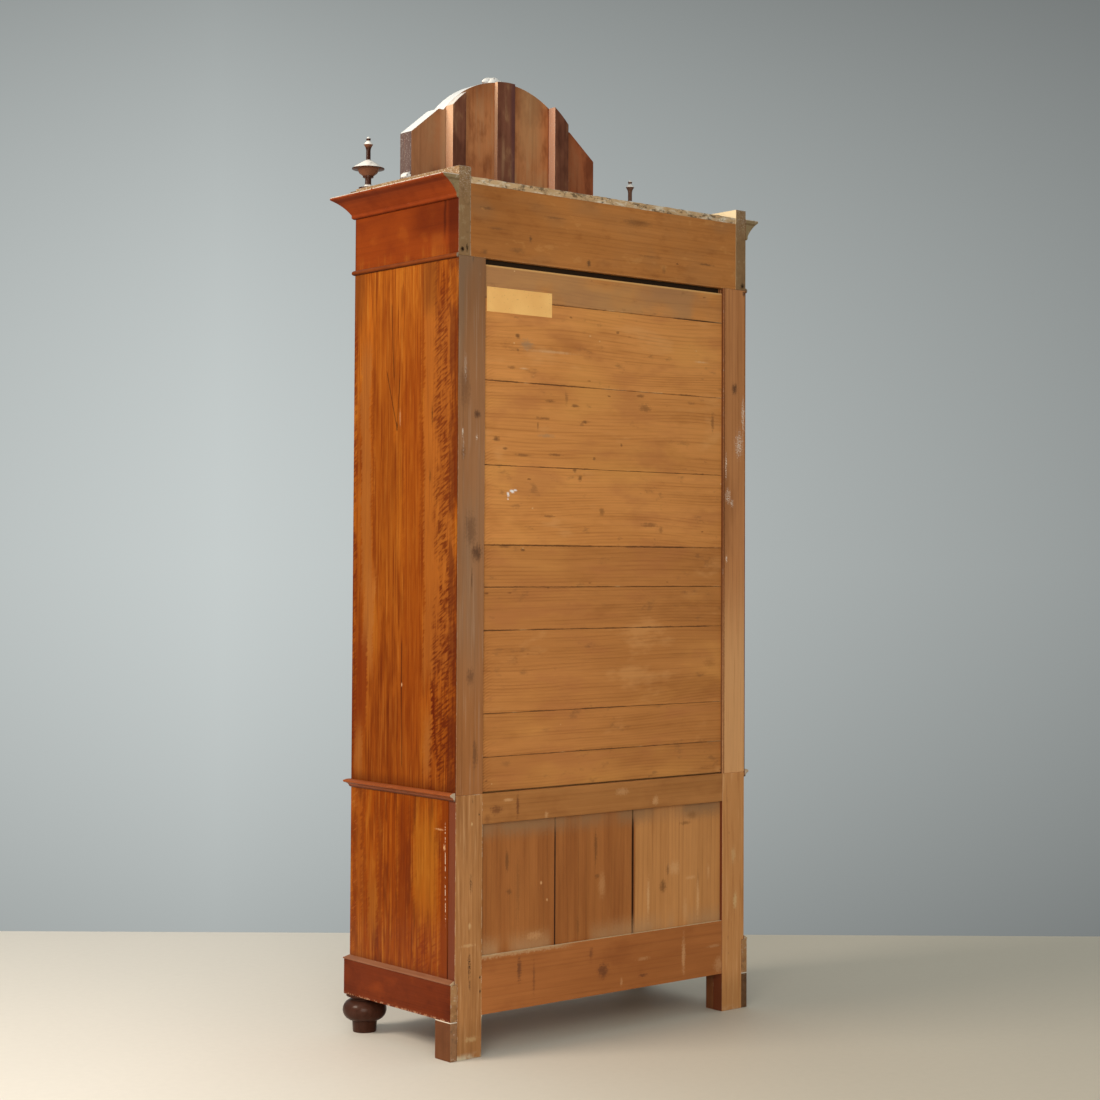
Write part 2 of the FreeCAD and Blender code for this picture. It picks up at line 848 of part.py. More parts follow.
def hinge_pins():
    """The halves fixed to the case: a leaf, a knuckle with a tip under it, and the pin on top."""
    halves = []
    for level in hinge_levels():
        foot = V(hinge_x, hinge_y, level - knuckle_length)
        knuckle = rod(knuckle_radius, foot, V(0, 0, knuckle_length))
        tip = Part.makeCone(hinge_tip_radius, hinge_tip_end, hinge_tip_height, foot, V(0, 0, -1))
        pin = rod(hinge_pin_radius, V(hinge_x, hinge_y, level), V(0, 0, hinge_pin_length))
        halves.append(knuckle.fuse([tip, pin, frame_leaf(level)]).removeSplitter())
    return halves


def hinge_sockets():
    """The halves fixed to the door, which lift off the pins."""
    halves = []
    for level in hinge_levels():
        foot = V(hinge_x, hinge_y, level + running_gap)
        knuckle = rod(knuckle_radius, foot, V(0, 0, knuckle_length))
        top = foot + V(0, 0, knuckle_length)
        tip = Part.makeCone(hinge_tip_radius, hinge_tip_end, hinge_tip_height, top, V(0, 0, 1))
        bore_top = hinge_pin_length + hinge_pin_clearance
        bore = rod(hinge_pin_radius + hinge_pin_clearance, foot, V(0, 0, bore_top))
        half_hinge = knuckle.fuse([tip, door_leaf(level)]).cut(bore)
        halves.append(half_hinge.removeSplitter())
    return halves


# Door lock
def bolt_space(grow):
    y_middle = door_back - lock_depth / 2
    side = bolt_thickness / 2 + grow
    return block(door_half - bolt_length, door_half, y_middle - side, y_middle + side,
                 lock_middle - bolt_height / 2 - grow, lock_middle + bolt_height / 2 + grow)


def lock_case():
    """A hollow case that the bolt slides in and the key's bit turns in."""
    inside = block(door_half - lock_width + lock_wall, door_half - selvedge_thickness,
                   door_back - lock_depth + lock_wall, door_back - lock_wall,
                   lock_middle - lock_height / 2 + lock_wall, lock_middle + lock_height / 2 - lock_wall)
    hole = keyhole(key_radius + key_clearance, key_slot_width, key_bit_length + key_clearance,
                   door_back - lock_depth, door_back - lock_depth + lock_wall)
    return lock_body().cut(inside).cut(bolt_space(running_gap)).cut(hole)


def lock_bolt():
    bar = bolt_space(0)
    bar.translate(V(-bolt_setback, 0, 0))
    notch_left = key_x - bolt_travel - talon_width / 2
    notch = block(notch_left, notch_left + talon_width + bolt_travel, bar.BoundBox.YMin, bar.BoundBox.YMax,
                  bar.BoundBox.ZMin, bar.BoundBox.ZMin + talon_depth)
    return bar.cut(notch)


def door_key():
    """Bit and shank in the lock, collar against the plate, and a ring bow to turn it by."""
    bit_back = door_back - lock_wall - running_gap
    bit_front = bit_back - key_bit_width
    face = front - escutcheon_thickness
    shank_end = face - key_shank_out
    shank = rod(key_radius, V(key_x, bit_back, key_z), V(0, shank_end - bit_back, 0))
    bit = block(key_x - key_bit_thickness / 2, key_x + key_bit_thickness / 2, bit_front, bit_back,
                key_z - key_bit_length, key_z)
    collar_start = face - running_gap
    collar = rod(key_collar_radius, V(key_x, collar_start, key_z), V(0, -key_collar_length, 0))
    bow_side = V(key_x - key_bow_bar, shank_end - key_bow_radius, key_z)
    bow_width = V(2 * key_bow_bar, 0, 0)
    bow = rod(key_bow_radius + key_bow_bar, bow_side, bow_width)
    bow = bow.cut(rod(key_bow_radius - key_bow_bar, bow_side, bow_width))
    return shank.fuse([bit, collar, bow]).removeSplitter()


def key_escutcheon():
    middle = V(key_x, front, key_z)
    oval = Part.Ellipse(middle + V(0, 0, escutcheon_half_height), middle + V(escutcheon_half_width, 0, 0), middle)
    plate = Part.Face(Part.Wire(oval.toShape())).extrude(V(0, -escutcheon_thickness, 0))
    hole = keyhole(key_radius + key_clearance, key_slot_width, key_bit_length + key_clearance,
                   front - escutcheon_thickness, front)
    return plate.cut(hole)


def lock_keep():
    plate = keep_space(keep_thickness, keep_height, keep_width)
    return plate.cut(keep_space(keep_thickness, bolt_height + 2 * keep_clearance,
                                bolt_thickness + 2 * keep_clearance))


# Drawers
def drawer_bottom(level):
    z_low = level + running_gap + drawer_bottom_lift
    x_high = opening_half - drawer_side_gap - drawer_side_thickness + drawer_groove
    return block(-x_high, x_high, front + drawer_front_thickness - drawer_groove, front + drawer_length,
                 z_low, z_low + drawer_bottom_thickness)


def drawer_sides(level):
    outer = opening_half - drawer_side_gap
    z_low = level + running_gap
    z_high = level + drawer_opening - drawer_side_drop
    y_low = front + drawer_front_thickness - drawer_lap
    side = block(outer - drawer_side_thickness, outer, y_low, front + drawer_length, z_low, z_high)
    return twin(side.cut(drawer_bottom(level)))


def drawer_back(level):
    inner = opening_half - drawer_side_gap - drawer_side_thickness
    z_low = drawer_bottom(level).BoundBox.ZMax
    z_high = level + drawer_opening - drawer_side_drop
    y_high = front + drawer_length
    return block(-inner, inner, y_high - drawer_back_thickness, y_high, z_low, z_high)


def drawer_knobs(level):
    x = opening_half * knob_place_share
    z = level + drawer_opening / 2
    knob = turned(knob_shares, knob_radius, knob_length, V(x, front, z), V(0, -1, 0))
    spigot = rod(knob_spigot_radius, V(x, front, z), V(0, knob_spigot_length, 0))
    return twin(knob.fuse(spigot).removeSplitter())


def drawer_front(level):
    panel = block(-opening_half + drawer_gap, opening_half - drawer_gap, front, front + drawer_front_thickness,
                  level + drawer_gap, level + drawer_opening - drawer_gap)
    for piece in drawer_sides(level) + drawer_knobs(level) + [drawer_bottom(level)]:
        panel = panel.cut(piece)
    return panel.removeSplitter()


def make_drawer(name, level):
    save(name + "_drawer_front", [drawer_front(level)])
    save(name + "_drawer_box", drawer_sides(level) + [drawer_back(level)])
    save(name + "_drawer_bottom", [drawer_bottom(level)])
    save(name + "_drawer_knobs", drawer_knobs(level))


def make_base():
    boards = plinth_boards()
    plinth = boards[0].fuse(boards[1:])
    save("bun_feet", bun_feet())
    save("leg_packing", leg_packing())
    save("base_posts", base_posts(plinth))
    save("base_stiles", base_stiles(plinth))
    save("base_sides", base_sides(plinth))
    save("base_veneers", base_veneers())
    save("drawer_rails", drawer_rails(plinth))
    save("drawer_runners", drawer_runners())
    save("base_back_top_rail", back_rail(waist_height - back_top_rail_height, waist_height))
    low = back_low_rail_bottom
    save("base_back_bottom_rail", back_rail(low, low + back_low_rail_height))
    save("base_back_boards", base_back_boards())
    save("plinth_boards", boards)
    save("plinth_moulding", plinth_moulding())
    save("waist_moulding", waist_moulding())


def make_upper_case():
    frame_leaves = [frame_leaf(level) for level in hinge_levels()]
    save("upper_posts", upper_posts())
    save("upper_stiles", upper_stiles(frame_leaves))
    save("upper_sides", upper_sides())
    save("upper_veneers", upper_veneers())
    save("upper_back_boards", upper_back_boards())
    save("case_floor", [case_board(waist_height)])
    save("case_top", [case_board(frieze_bottom - case_board_thickness)])
    save("door_frame_rails", door_frame_rails())
    save("hat_shelf", [hat_shelf()])
    save("shelf_cleats", shelf_cleats())
    save("hanging_rail", [hanging_rail()])
    save("rail_sockets", rail_sockets())
    save("hinge_pins", hinge_pins())
    save("lock_keep", [lock_keep()])


def make_cornice_and_crest():
    save("hat_sides", hat_sides())
    save("hat_back", [hat_back()])
    save("hat_front", [hat_front()])
    save("hat_top", [hat_top()])
    save("crest_base", [crest_base()])
    save("frieze_bead", frieze_bead())
    save("cornice_moulding", cornice_moulding())
    save("crest_panel", [crest_panel()])
    save("crest_frame", [crest_frame()])
    save("crest_battens", crest_battens())
    save("crest_ornament", [palmette()] + crest_scrolls())
    save("finials", finials())


def make_door():
    door_leaves = [door_leaf(level) for level in hinge_levels()]
    save("door_stiles", door_stiles(door_leaves))
    save("door_top_rail", [door_top_rail()])
    save("door_bottom_rail", [door_bottom_rail()])
    save("door_mirror", [door_mirror()])
    save("door_backing", [door_backing()])
    save("door_sight_bead", [sight_bead()])
    save("hinge_sockets", hinge_sockets())
    save("lock_case", [lock_case()])
    save("lock_bolt", [lock_bolt()])
    save("door_key", [door_key()])
    save("key_escutcheon", [key_escutcheon()])


make_base()
make_upper_case()
make_cornice_and_crest()
make_door()
make_drawer("lower", drawer_opening_bottom)
make_drawer("upper", upper_drawer_bottom)
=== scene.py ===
"""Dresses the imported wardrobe: a finish for every piece, turned and carved pieces, floor, light and camera.

Metres, +Z up. X runs along the width, the door faces -Y, the boarded back faces +Y.
"""
from functools import reduce
from math import atan2, cos, pi, radians, sin

import bpy
from mathutils import Matrix, Vector


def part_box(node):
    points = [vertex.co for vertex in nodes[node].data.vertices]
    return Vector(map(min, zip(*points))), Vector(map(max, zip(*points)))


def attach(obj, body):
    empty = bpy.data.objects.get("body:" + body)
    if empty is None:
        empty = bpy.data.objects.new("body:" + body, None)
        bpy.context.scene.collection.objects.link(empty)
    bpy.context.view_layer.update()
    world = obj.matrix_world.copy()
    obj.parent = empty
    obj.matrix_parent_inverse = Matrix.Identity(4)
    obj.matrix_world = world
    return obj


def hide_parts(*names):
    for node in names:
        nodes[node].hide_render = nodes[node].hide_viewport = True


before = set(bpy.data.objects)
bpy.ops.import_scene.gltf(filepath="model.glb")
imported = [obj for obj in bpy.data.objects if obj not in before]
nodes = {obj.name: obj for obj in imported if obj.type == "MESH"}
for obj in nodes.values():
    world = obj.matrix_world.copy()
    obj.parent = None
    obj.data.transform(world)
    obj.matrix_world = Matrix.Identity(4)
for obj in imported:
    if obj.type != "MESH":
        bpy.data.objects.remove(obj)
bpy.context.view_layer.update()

mm = 0.001

# Where the photograph was taken from
camera_place = Vector((3.7719, 4.5169, 1.2665))
camera_heading = radians(229.759)
camera_pitch = 0.0303
camera_roll = 0.0049
camera_lens = 67.99
camera_sensor = 36
camera_shift = (-0.0098, -0.0426)
view_ahead = Vector((cos(camera_heading), sin(camera_heading), 0))
view_left = Vector((-view_ahead.y, view_ahead.x, 0))
floor_far_edge = 7.2
floor_half = 2.3

# Edges of the wardrobe that finishes and pieces are placed by
post_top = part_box("upper_posts")[1]
back_y = post_top.y
front_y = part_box("upper_stiles")[0].y
half_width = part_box("upper_veneers")[1].x
frieze_z = post_top.z
cornice_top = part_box("cornice_moulding")[1].z

# Runs of the turned pieces, as shares of their radius and height. Three points make an arc
foot_shares = [
    [(0.53, 0), (0.57, 0.31)], [(0.57, 0.31), (1, 0.596), (0.60, 0.88)], [(0.60, 0.88), (0.60, 0.91)],
    [(0.60, 0.91), (0.84, 0.97)], [(0.84, 0.97), (0.84, 1)]]
finial_shares = [
    [(0.58, 0), (0.58, 0.05)], [(0.58, 0.05), (0.30, 0.068), (0.19, 0.12)], [(0.19, 0.12), (0.19, 0.235)],
    [(0.33, 0.235), (0.33, 0.265)], [(0.33, 0.265), (0.55, 0.315)], [(0.55, 0.315), (0.69, 0.39)],
    [(1, 0.39), (1, 0.405)], [(1, 0.405), (0.45, 0.51)], [(0.45, 0.51), (0.14, 0.56)],
    [(0.14, 0.56), (0.14, 0.70)], [(0.14, 0.70), (0.18, 0.785), (0.29, 0.84)], [(0.29, 0.84), (0.11, 0.91)],
    [(0.11, 0.91), (0.15, 0.95)]]
knob_shares = [
    [(0.60, 0), (0.43, 0.12)], [(0.43, 0.12), (0.50, 0.48)], [(0.50, 0.48), (0.92, 0.56)],
    [(0.92, 0.56), (1, 0.72), (0.80, 0.90)], [(0.80, 0.90), (0.35, 1)]]
knob_spigot = 7 * mm

# The carved fan and the scroll feet on the crest
petal_length = 92 * mm
petal_width = 64 * mm
petal_turns = (-68, -34, 0, 34, 68)
petal_fall_share = 0.34
tip_width = 84 * mm
tip_height = 34 * mm
palmette_depth = 16 * mm
boss_radius = 21 * mm
scroll_height = 73 * mm
scroll_reach = 52 * mm
scroll_eye = 14 * mm
scroll_thickness = 28 * mm
scroll_sweep_share = 0.33

# How far the top board's rough back edge is set back, and how far it swells
rough_edge_bite = 2 * mm
rough_edge_swell = 7 * mm

# The splinter at the left rear leg, and the slip's lower and upper corner on the back boards
splinter_inset = 0.09
splinter_z = 0.104
splinter_length = 34 * mm
splinter_lean = radians(166)
slip_corners = ((0.203, 1.932), (0.425, 1.997))

# What old varnish does to the wood under it and to the light off it
varnish_tints = {"Coat_Tint": (1, 0.88, 0.7, 1), "Specular_Tint": (1, 0.62, 0.34, 1)}

# Which edges a bevel rounds
edge_rounding = {"limit_method": "ANGLE", "angle_limit": radians(35)}

# The tint of each back board and the width of each seam in millimetres, from the lowest board up
board_tints = (0.68, 0.76, 0.77, 0.75, 0.78, 0.98, 0.96, 1, 0.92)
seam_widths = (1.2, 1.2, 1.6, 1.2, 1.8, 1.2, 1.8, 1.6)

# The distance between the saw's marks on the back boards
saw_pitch = 8 * mm

# The cornice's painted shadow line, from its lower to its upper edge, and where the pale line along its top
# begins
cornice_shadow_line = (2.262, 2.268)
cornice_pale_edge_z = 2.2755

# Each lamp's name, place, size, power and colour
lamp_target = Vector((0, 0, 1.2))
lamps = (
    ("key", view_left * 3 - view_ahead * 1.7 + Vector((0, 0, 3)), 1.4, 115, "fff4e6"),
    ("fill", view_left * 0.3 - view_ahead * 4.6 + Vector((0, 0, 1.7)), 2.4, 120, "fffaf2"),
    ("front", Vector((-1.3, -4.2, 2.3)), 2, 12, "fff8ee"))


def tone(code):
    """A colour written as six hex digits, as the linear colour that the shader takes."""
    parts = [int(code[place:place + 2], 16) / 255 for place in (0, 2, 4)]
    linear = [part / 12.92 if part <= 0.04045 else ((part + 0.055) / 1.055) ** 2.4 for part in parts]
    return (*linear, 1)


class Wire:
    """A value that varies over a surface. Sums with it are written as in Python and add Math nodes."""

    def __init__(self, finish, socket):
        self.finish = finish
        self.socket = socket

    def maths(self, operation, *values):
        return self.finish.node("ShaderNodeMath", {"operation": operation}, values)

    def __add__(self, other):
        return self.maths("ADD", self, other)

    def __radd__(self, other):
        return self.maths("ADD", other, self)

    def __sub__(self, other):
        return self.maths("SUBTRACT", self, other)

    def __rsub__(self, other):
        return self.maths("SUBTRACT", other, self)

    def __mul__(self, other):
        return self.maths("MULTIPLY", self, other)

    def __rmul__(self, other):
        return self.maths("MULTIPLY", other, self)

    def __truediv__(self, other):
        return self.maths("DIVIDE", self, other)

    def __rtruediv__(self, other):
        return self.maths("DIVIDE", other, self)

    def size(self):
        return self.maths("ABSOLUTE", self)

    def sine(self):
        return self.maths("SINE", self)

    def power(self, exponent):
        return self.maths("POWER", self, exponent)

    def least(self, other):
        return self.maths("MINIMUM", self, other)

    def most(self, other):
        return self.maths("MAXIMUM", self, other)

    def rise(self, low, high):
        """0 below low, 1 above high, and a smooth step between. With low above high it falls instead."""
        sockets = {"Value": self, "From Min": low, "From Max": high}
        return self.finish.node("ShaderNodeMapRange", {"interpolation_type": "SMOOTHSTEP"}, sockets)

    def near(self, value, width):
        """1 at the value, falling to 0 at the width on either side."""
        return (self - value).size().rise(width, 0)

    def inside(self, low, high, soft):
        """1 between low and high, with soft ends."""
        return self.rise(low - soft, low + soft) * self.rise(high + soft, high - soft)


class Shading:
    """A tree of shader nodes, with short calls for the nodes that the finishes use."""

    def __init__(self, tree):
        self.tree = tree

    def node(self, kind, settings=None, sockets=(), output=0):
        """Adds a node: its settings first, then its sockets' values or links. Gives one of its outputs."""
        made = self.tree.nodes.new(kind)
        for setting, value in (settings or {}).items():
            if setting == "stops":
                self.set_stops(made.color_ramp, value)
            else:
                setattr(made, setting, value)
        pairs = sockets.items() if isinstance(sockets, dict) else enumerate(sockets)
        for key, value in pairs:
            if isinstance(value, Wire):
                self.tree.links.new(value.socket, made.inputs[key])
            else:
                made.inputs[key].default_value = value
        return Wire(self, made.outputs[output])

    def set_stops(self, ramp, stops):
        while len(ramp.elements) < len(stops):
            ramp.elements.new(1)
        for element, (position, colour) in zip(ramp.elements, stops):
            element.position = position
            element.color = colour

    def parts(self, vector):
        split = self.node("ShaderNodeSeparateXYZ", sockets=(vector,))
        return [Wire(self, socket) for socket in split.socket.node.outputs]

    def joined(self, x, y, z):
        return self.node("ShaderNodeCombineXYZ", sockets=(x, y, z))

    def noise(self, vector, scale=1, detail=2, roughness=0.5):
        values = {"Vector": vector, "Scale": scale, "Detail": detail, "Roughness": roughness}
        return self.node("ShaderNodeTexNoise", sockets=values)

    def cells(self, vector, output="Distance"):
        return self.node("ShaderNodeTexVoronoi", sockets={"Vector": vector, "Scale": 1}, output=output)

    def mix(self, factor, first, second, blend="MIX"):
        settings = {"data_type": "RGBA", "blend_type": blend}
        return self.node("ShaderNodeMix", settings, {0: factor, 6: first, 7: second}, 2)

    def steps(self, value, stops):
        """A colour that changes at once from stop to stop."""
        made = self.node("ShaderNodeValToRGB", {"stops": stops}, (value,))
        made.socket.node.color_ramp.interpolation = "CONSTANT"
        return made


class Finish(Shading):
    """A procedural finish on a surface's own shader."""

    def __init__(self, name, **constants):
        self.material = bpy.data.materials.new(name)
        self.material.use_nodes = True
        super().__init__(self.material.node_tree)
        self.shader = self.tree.nodes["Principled BSDF"]
        for socket, value in constants.items():
            self.shader.inputs[socket.replace("_", " ")].default_value = value
        self.place = self.node("ShaderNodeTexCoord", output="Object")
        self.x, self.y, self.z = self.parts(self.place)
        self.facing = self.node("ShaderNodeNewGeometry", output="Normal")
        self.facing_x, self.facing_y, self.facing_z = self.parts(self.facing)

    def stretched(self, scales, offset):
        """Object coordinates times the scales plus an offset, to stretch a pattern along an axis."""
        sockets = (self.place, scales, offset)
        return self.node("ShaderNodeVectorMath", {"operation": "MULTIPLY_ADD"}, sockets)

    def pattern(self, scales, offset=(0, 0, 0), detail=3, roughness=0.5):
        """Noise that is stretched along an axis."""
        return self.noise(self.stretched(scales, offset), 1, detail, roughness)

    def tinted(self, colour, amount):
        """The colour made lighter or darker by an amount that varies round 1."""
        return self.mix(1, colour, self.joined(amount, amount, amount), "MULTIPLY")

    def edges(self, width):
        """1 on the very edges of a piece and 0 away from them."""
        rounded = self.node("ShaderNodeBevel", {"samples": 6}, {"Radius": width})
        same = self.node("ShaderNodeVectorMath", {"operation": "DOT_PRODUCT"}, (rounded, self.facing), 1)
        return (1 - same).rise(0.01, 0.12)

    def feed(self, socket, value):
        self.tree.links.new(value.socket, self.shader.inputs[socket])

    def raise_surface(self, height, depth, strength):
        values = {"Strength": strength, "Distance": depth, "Height": height}
        self.feed("Normal", self.node("ShaderNodeBump", sockets=values))


def axis_scales(along, along_scale, across_scale):
    """Scales for a pattern that runs with the grain: one along the axis, another across it."""
    return tuple(along_scale if axis == along else across_scale for axis in range(3))


def level_ends(name, axis):
    """The places along an axis where a node's faces lie, from low to high."""
    return sorted({round(vertex.co[axis], 4) for vertex in nodes[name].data.vertices})


def wood_tones(code):
    """The paler, the middle and the darkest tone round a wood's mean colour."""
    red, green, blue, alpha = tone(code)
    pale = (red * 1.13, green * 1.16, blue * 1.22, alpha)
    middle = (red * 0.9, green * 0.87, blue * 0.82, alpha)
    dark = (red * 0.5, green * 0.42, blue * 0.36, alpha)
    return pale, middle, dark


class Timber(Finish):
    """Bare or polished solid wood: stains, grain lines, fibres and knots along one axis."""

    def __init__(self, name, along, mean, offset=0, line_gap=9 * mm, line_share=0.3, stain_share=0.6,
                 fibre_share=0.12, sway=0.05, knot_share=0, gloss=0.2, **constants):
        super().__init__(name, Specular_IOR_Level=gloss, **constants)
        pale, middle, dark = wood_tones(mean)
        self.along = along
        self.offset = (offset, offset * 1.7, offset * 0.6)
        drift = self.pattern(axis_scales(along, 1.1, 4), self.offset, 1)
        self.stain = self.pattern(axis_scales(along, 2.4, 9), self.offset, 4, 0.6)
        self.fibre = self.pattern(axis_scales(along, 9, 420), self.offset)
        self.streak = self.pattern(axis_scales(along, 1.6, 60), self.offset, 3, 0.6)
        self.rough = self.noise(self.place, 160, 3)
        self.specks = self.noise(self.place, 420, 2)
        self.ragged = (self.rough - 0.5) * 1.9 + (self.fibre - 0.5) * 1.6 + (self.specks - 0.5) * 0.8
        across = [self.x, self.y, self.z]
        across.pop(along)
        lie = across[0] + across[1] + drift * sway
        waves = (lie * (2 * pi / line_gap)).sine() * 0.5 + 0.5
        self.lines = waves.power(3) * self.streak.rise(0.35, 0.65)
        mottle = self.stain.rise(0.3, 0.7) * stain_share + self.streak.rise(0.3, 0.7) * (1 - stain_share)
        self.colour = self.mix(mottle, pale, middle)
        self.stained(self.lines * line_share, dark)
        self.knots = self.knot_mask(knot_share) if knot_share else self.lines * 0
        self.stained(self.knots, dark)
        self.colour = self.tinted(self.colour, 1 + (self.fibre - 0.5) * (2 * fibre_share))
        self.height = self.fibre * 0.4 + self.lines * 0.4 - self.knots

    def knot_mask(self, share):
        place = self.stretched(axis_scales(self.along, 2.6, 4.2), self.offset)
        reach = self.cells(place) + self.ragged * 0.035
        return reach.rise(0.085, 0.01) * self.drawn(place).rise(1 - share, 1.02 - share) * 0.7

    def drawn(self, place):
        """A value of its own for each cell of a scattered pattern."""
        return self.node("ShaderNodeSeparateColor", sockets=(self.cells(place, output="Color"),))

    def scatter(self, scales, radius, share, offset=0):
        """Small marks in a share of the cells of a scattered pattern."""
        place = self.stretched(scales, (offset, offset, offset))
        reach = self.cells(place) + self.ragged * radius * 0.6
        return reach.rise(radius * 1.1, radius * 0.3) * self.drawn(place).rise(1 - share, 1.001 - share)

    def mark(self, axis, across, up, wide, high):
        """A ragged mark on a face along an axis: its place across and up, half width and half height."""
        scales = [0, 0, 1 / high]
        offset = [0, 0, -up / high]
        scales[axis] = 1 / wide
        offset[axis] = -across / wide
        centred = self.stretched(scales, offset)
        far = self.node("ShaderNodeVectorMath", {"operation": "LENGTH"}, (centred,), 1)
        return (far + self.ragged * 0.7).rise(1.2, 0.2)

    def marks(self, places, axis=0):
        """Marks in one mask: each has its place and half size across and up in millimetres, and its share."""
        return reduce(Wire.most, [self.mark(axis, across * mm, up * mm, wide * mm, high * mm) * share
                                  for across, up, wide, high, share in places])

    def marked(self, colour, places, share=1, axis=0):
        self.stained(self.marks(places, axis) * share, colour)

    def slash(self, across, start, end, width, wobble=0):
        """A thin line on an upright face, from one place across and up to another."""
        slope = (end[0] - start[0]) / (end[1] - start[1])
        line = across - start[0] - (self.z - start[1]) * slope + (self.stain - 0.5) * wobble
        low, high = sorted((start[1], end[1]))
        return line.near(0, width) * self.z.inside(low, high, 8 * mm)

    def stained(self, mask, colour):
        self.colour = self.mix(mask, self.colour, tone(colour) if isinstance(colour, str) else colour)

    def shaded(self, mask, share):
        """Multiplies the colour where the mask says so, by a share for red, green and blue."""
        self.colour = self.mix(mask, self.colour, (*share, 1), "MULTIPLY")

    def veined(self, grain, *rows):
        """Lays colours where a pattern rises or falls: its two limits, a share, and a stain or a shade."""
        for low, high, share, colour in rows:
            lay = self.stained if isinstance(colour, str) else self.shaded
            lay(grain.rise(low, high) * share, colour)

    def dusted(self, colour, low, high, share=1):
        """Dust that lies on what faces up."""
        patchy = self.noise(self.place, 60, 4, 0.7).rise(0.2, 0.5)
        self.stained(self.facing_z.rise(low, high) * patchy * share, colour)

    def chipped(self, colour, width, share):
        """Pale chips along the edges."""
        broken = self.noise(self.place, 45, 3, 0.7).rise(0.72 - 0.3 * share, 0.8 - 0.3 * share)
        self.stained(self.edges(width) * broken, colour)

    def done(self, depth=0.4 * mm, roughness=(0.5, 0.7), strength=0.6):
        self.feed("Base Color", self.colour)
        low, high = roughness
        self.feed("Roughness", low + self.stain * (high - low))
        self.raise_surface(self.height, depth, strength)
        return self.material


# Finishes of the bare back, from the photograph's warm browns
def post_wood(name, mean, offset, chip_share):
    wood = Timber(
        name, 2, mean, offset=offset, line_gap=13 * mm, line_share=0.22, sway=0.04, knot_share=0.15)
    cloud = wood.pattern((9, 9, 2.2), (offset, 3, 1), 4, 0.6)
    wood.shaded(cloud.rise(0.5, 0.72) * 0.8, (0.72, 0.68, 0.66))
    wood.stained(wood.scatter((16, 16, 5), 0.07, 0.2, offset) * 0.8, "3a2416")
    wood.stained(wood.scatter((30, 30, 14), 0.08, 0.1, offset + 4) * 0.5, "d2b48c")
    wood.chipped("dccbb0", 4 * mm, chip_share)
    return wood


def upper_post_wood():
    wood = post_wood("upper post wood", "b77b4a", 1.3, 0.5)
    left = wood.x.rise(0, 0.01)
    wood.shaded(left, (0.7, 0.66, 0.6))
    grey = wood.pattern((14, 14, 1.6), (2, 3, 1)).rise(0.42, 0.66)
    wood.stained(left * (0.3 + grey * 0.5) * wood.z.rise(0.85, 1.2), "8c6f55")
    streaks = wood.pattern((150, 150, 4)).rise(0.55, 0.7)
    wood.stained(left * streaks * 0.3, "ab9076")
    wood.shaded(left * wood.z.rise(1.75, 2), (0.8, 0.8, 0.8))
    wood.stained((1 - left) * wood.z.rise(1.3, 0.95) * 0.6, "e0ab74")
    wood.shaded((1 - left) * streaks * 0.7, (0.8, 0.72, 0.66))
    wood.shaded((wood.x + (wood.rough - 0.5) * 4 * mm).near(-0.4395, 5 * mm), (0.42, 0.3, 0.24))
    thready = wood.specks.rise(0.5, 0.58)
    wood.marked("ece2d2", [
        (-447, 1555, 4, 40, 1), (-455, 1470, 12, 22, 1), (-470, 1450, 8, 14, 1), (-500, 1620, 18, 45, 1),
        (-516, 1700, 8, 60, 1), (-449, 1290, 4, 14, 1), (508, 1610, 3, 14, 1), (505, 1570, 3, 34, 0.8),
        (462, 1600, 4, 8, 1), (500, 1780, 6, 40, 0.5)], thready)
    wood.marked("4e3222", [
        (-480, 1780, 12, 20, 0.8), (460, 1660, 12, 12, 0.8), (500, 1730, 20, 60, 0.35),
        (460, 1300, 20, 26, 0.8), (480, 1360, 22, 50, 0.45), (505, 1560, 9, 22, 0.4),
        (475, 1230, 3, 36, 0.7), (478, 980, 14, 24, 0.5), (462, 780, 10, 40, 0.5), (-520, 2060, 8, 8, 0.9)])
    wood.stained(wood.facing_x.size().rise(0.5, 0.9) * 0.8, "5a2a12")
    arris = (wood.x + wood.ragged * 2 * mm).near(half_width, 4 * mm) * wood.facing_y.rise(0.5, 0.9)
    wood.stained(arris * wood.rough.rise(0.36, 0.5) * 0.6, "c9a690")
    return wood.done()


def base_post_wood():
    wood = post_wood("base post wood", "a87444", 5.1, 0.8)
    wood.stained(wood.z.rise(0.02, 0) * wood.noise(wood.place, 40, 3).rise(0.35, 0.6), "cfc0a4")
    wood.marked("2c1a10", [
        (447, 624, 3, 4, 1), (441, 205, 3, 5, 1), (440, 168, 3, 5, 1), (-462, 505, 4, 6, 0.8),
        (-459, 207, 4, 7, 0.9), (-461, 162, 3, 5, 0.9)])
    wood.marked("4c2c16", [
        (-455, 600, 5, 9, 0.7), (-500, 420, 3, 30, 0.5), (472, 446, 5, 26, 1), (476, 240, 6, 36, 1),
        (474, 190, 3, 14, 1), (468, 660, 3, 8, 0.6)], wood.specks.rise(0.6, 0.45))
    wood.stained(wood.x.rise(0, -0.01) * 0.75, "c68a52")
    streaks = wood.pattern((120, 120, 5), (1, 2, 3), 4, 0.6)
    wood.veined(streaks, (0.5, 0.66, 0.8, (0.8, 0.73, 0.66)), (0.46, 0.34, 0.3, "d8ab7a"))
    wood.marked("cfae7c", [
        (470, 600, 4, 5, 0.7), (475, 340, 6, 8, 0.6), (480, 290, 26, 5, 0.4), (-487, 310, 8, 30, 0.7),
        (-480, 440, 10, 26, 0.4), (470, 50, 24, 8, 0.5)])
    wood.stained(wood.facing_x.size().rise(0.5, 0.9) * 0.95, "642a12")
    wood.shaded(wood.z.rise(0.12, 0.06), (0.86, 0.86, 0.84))
    return wood.done()


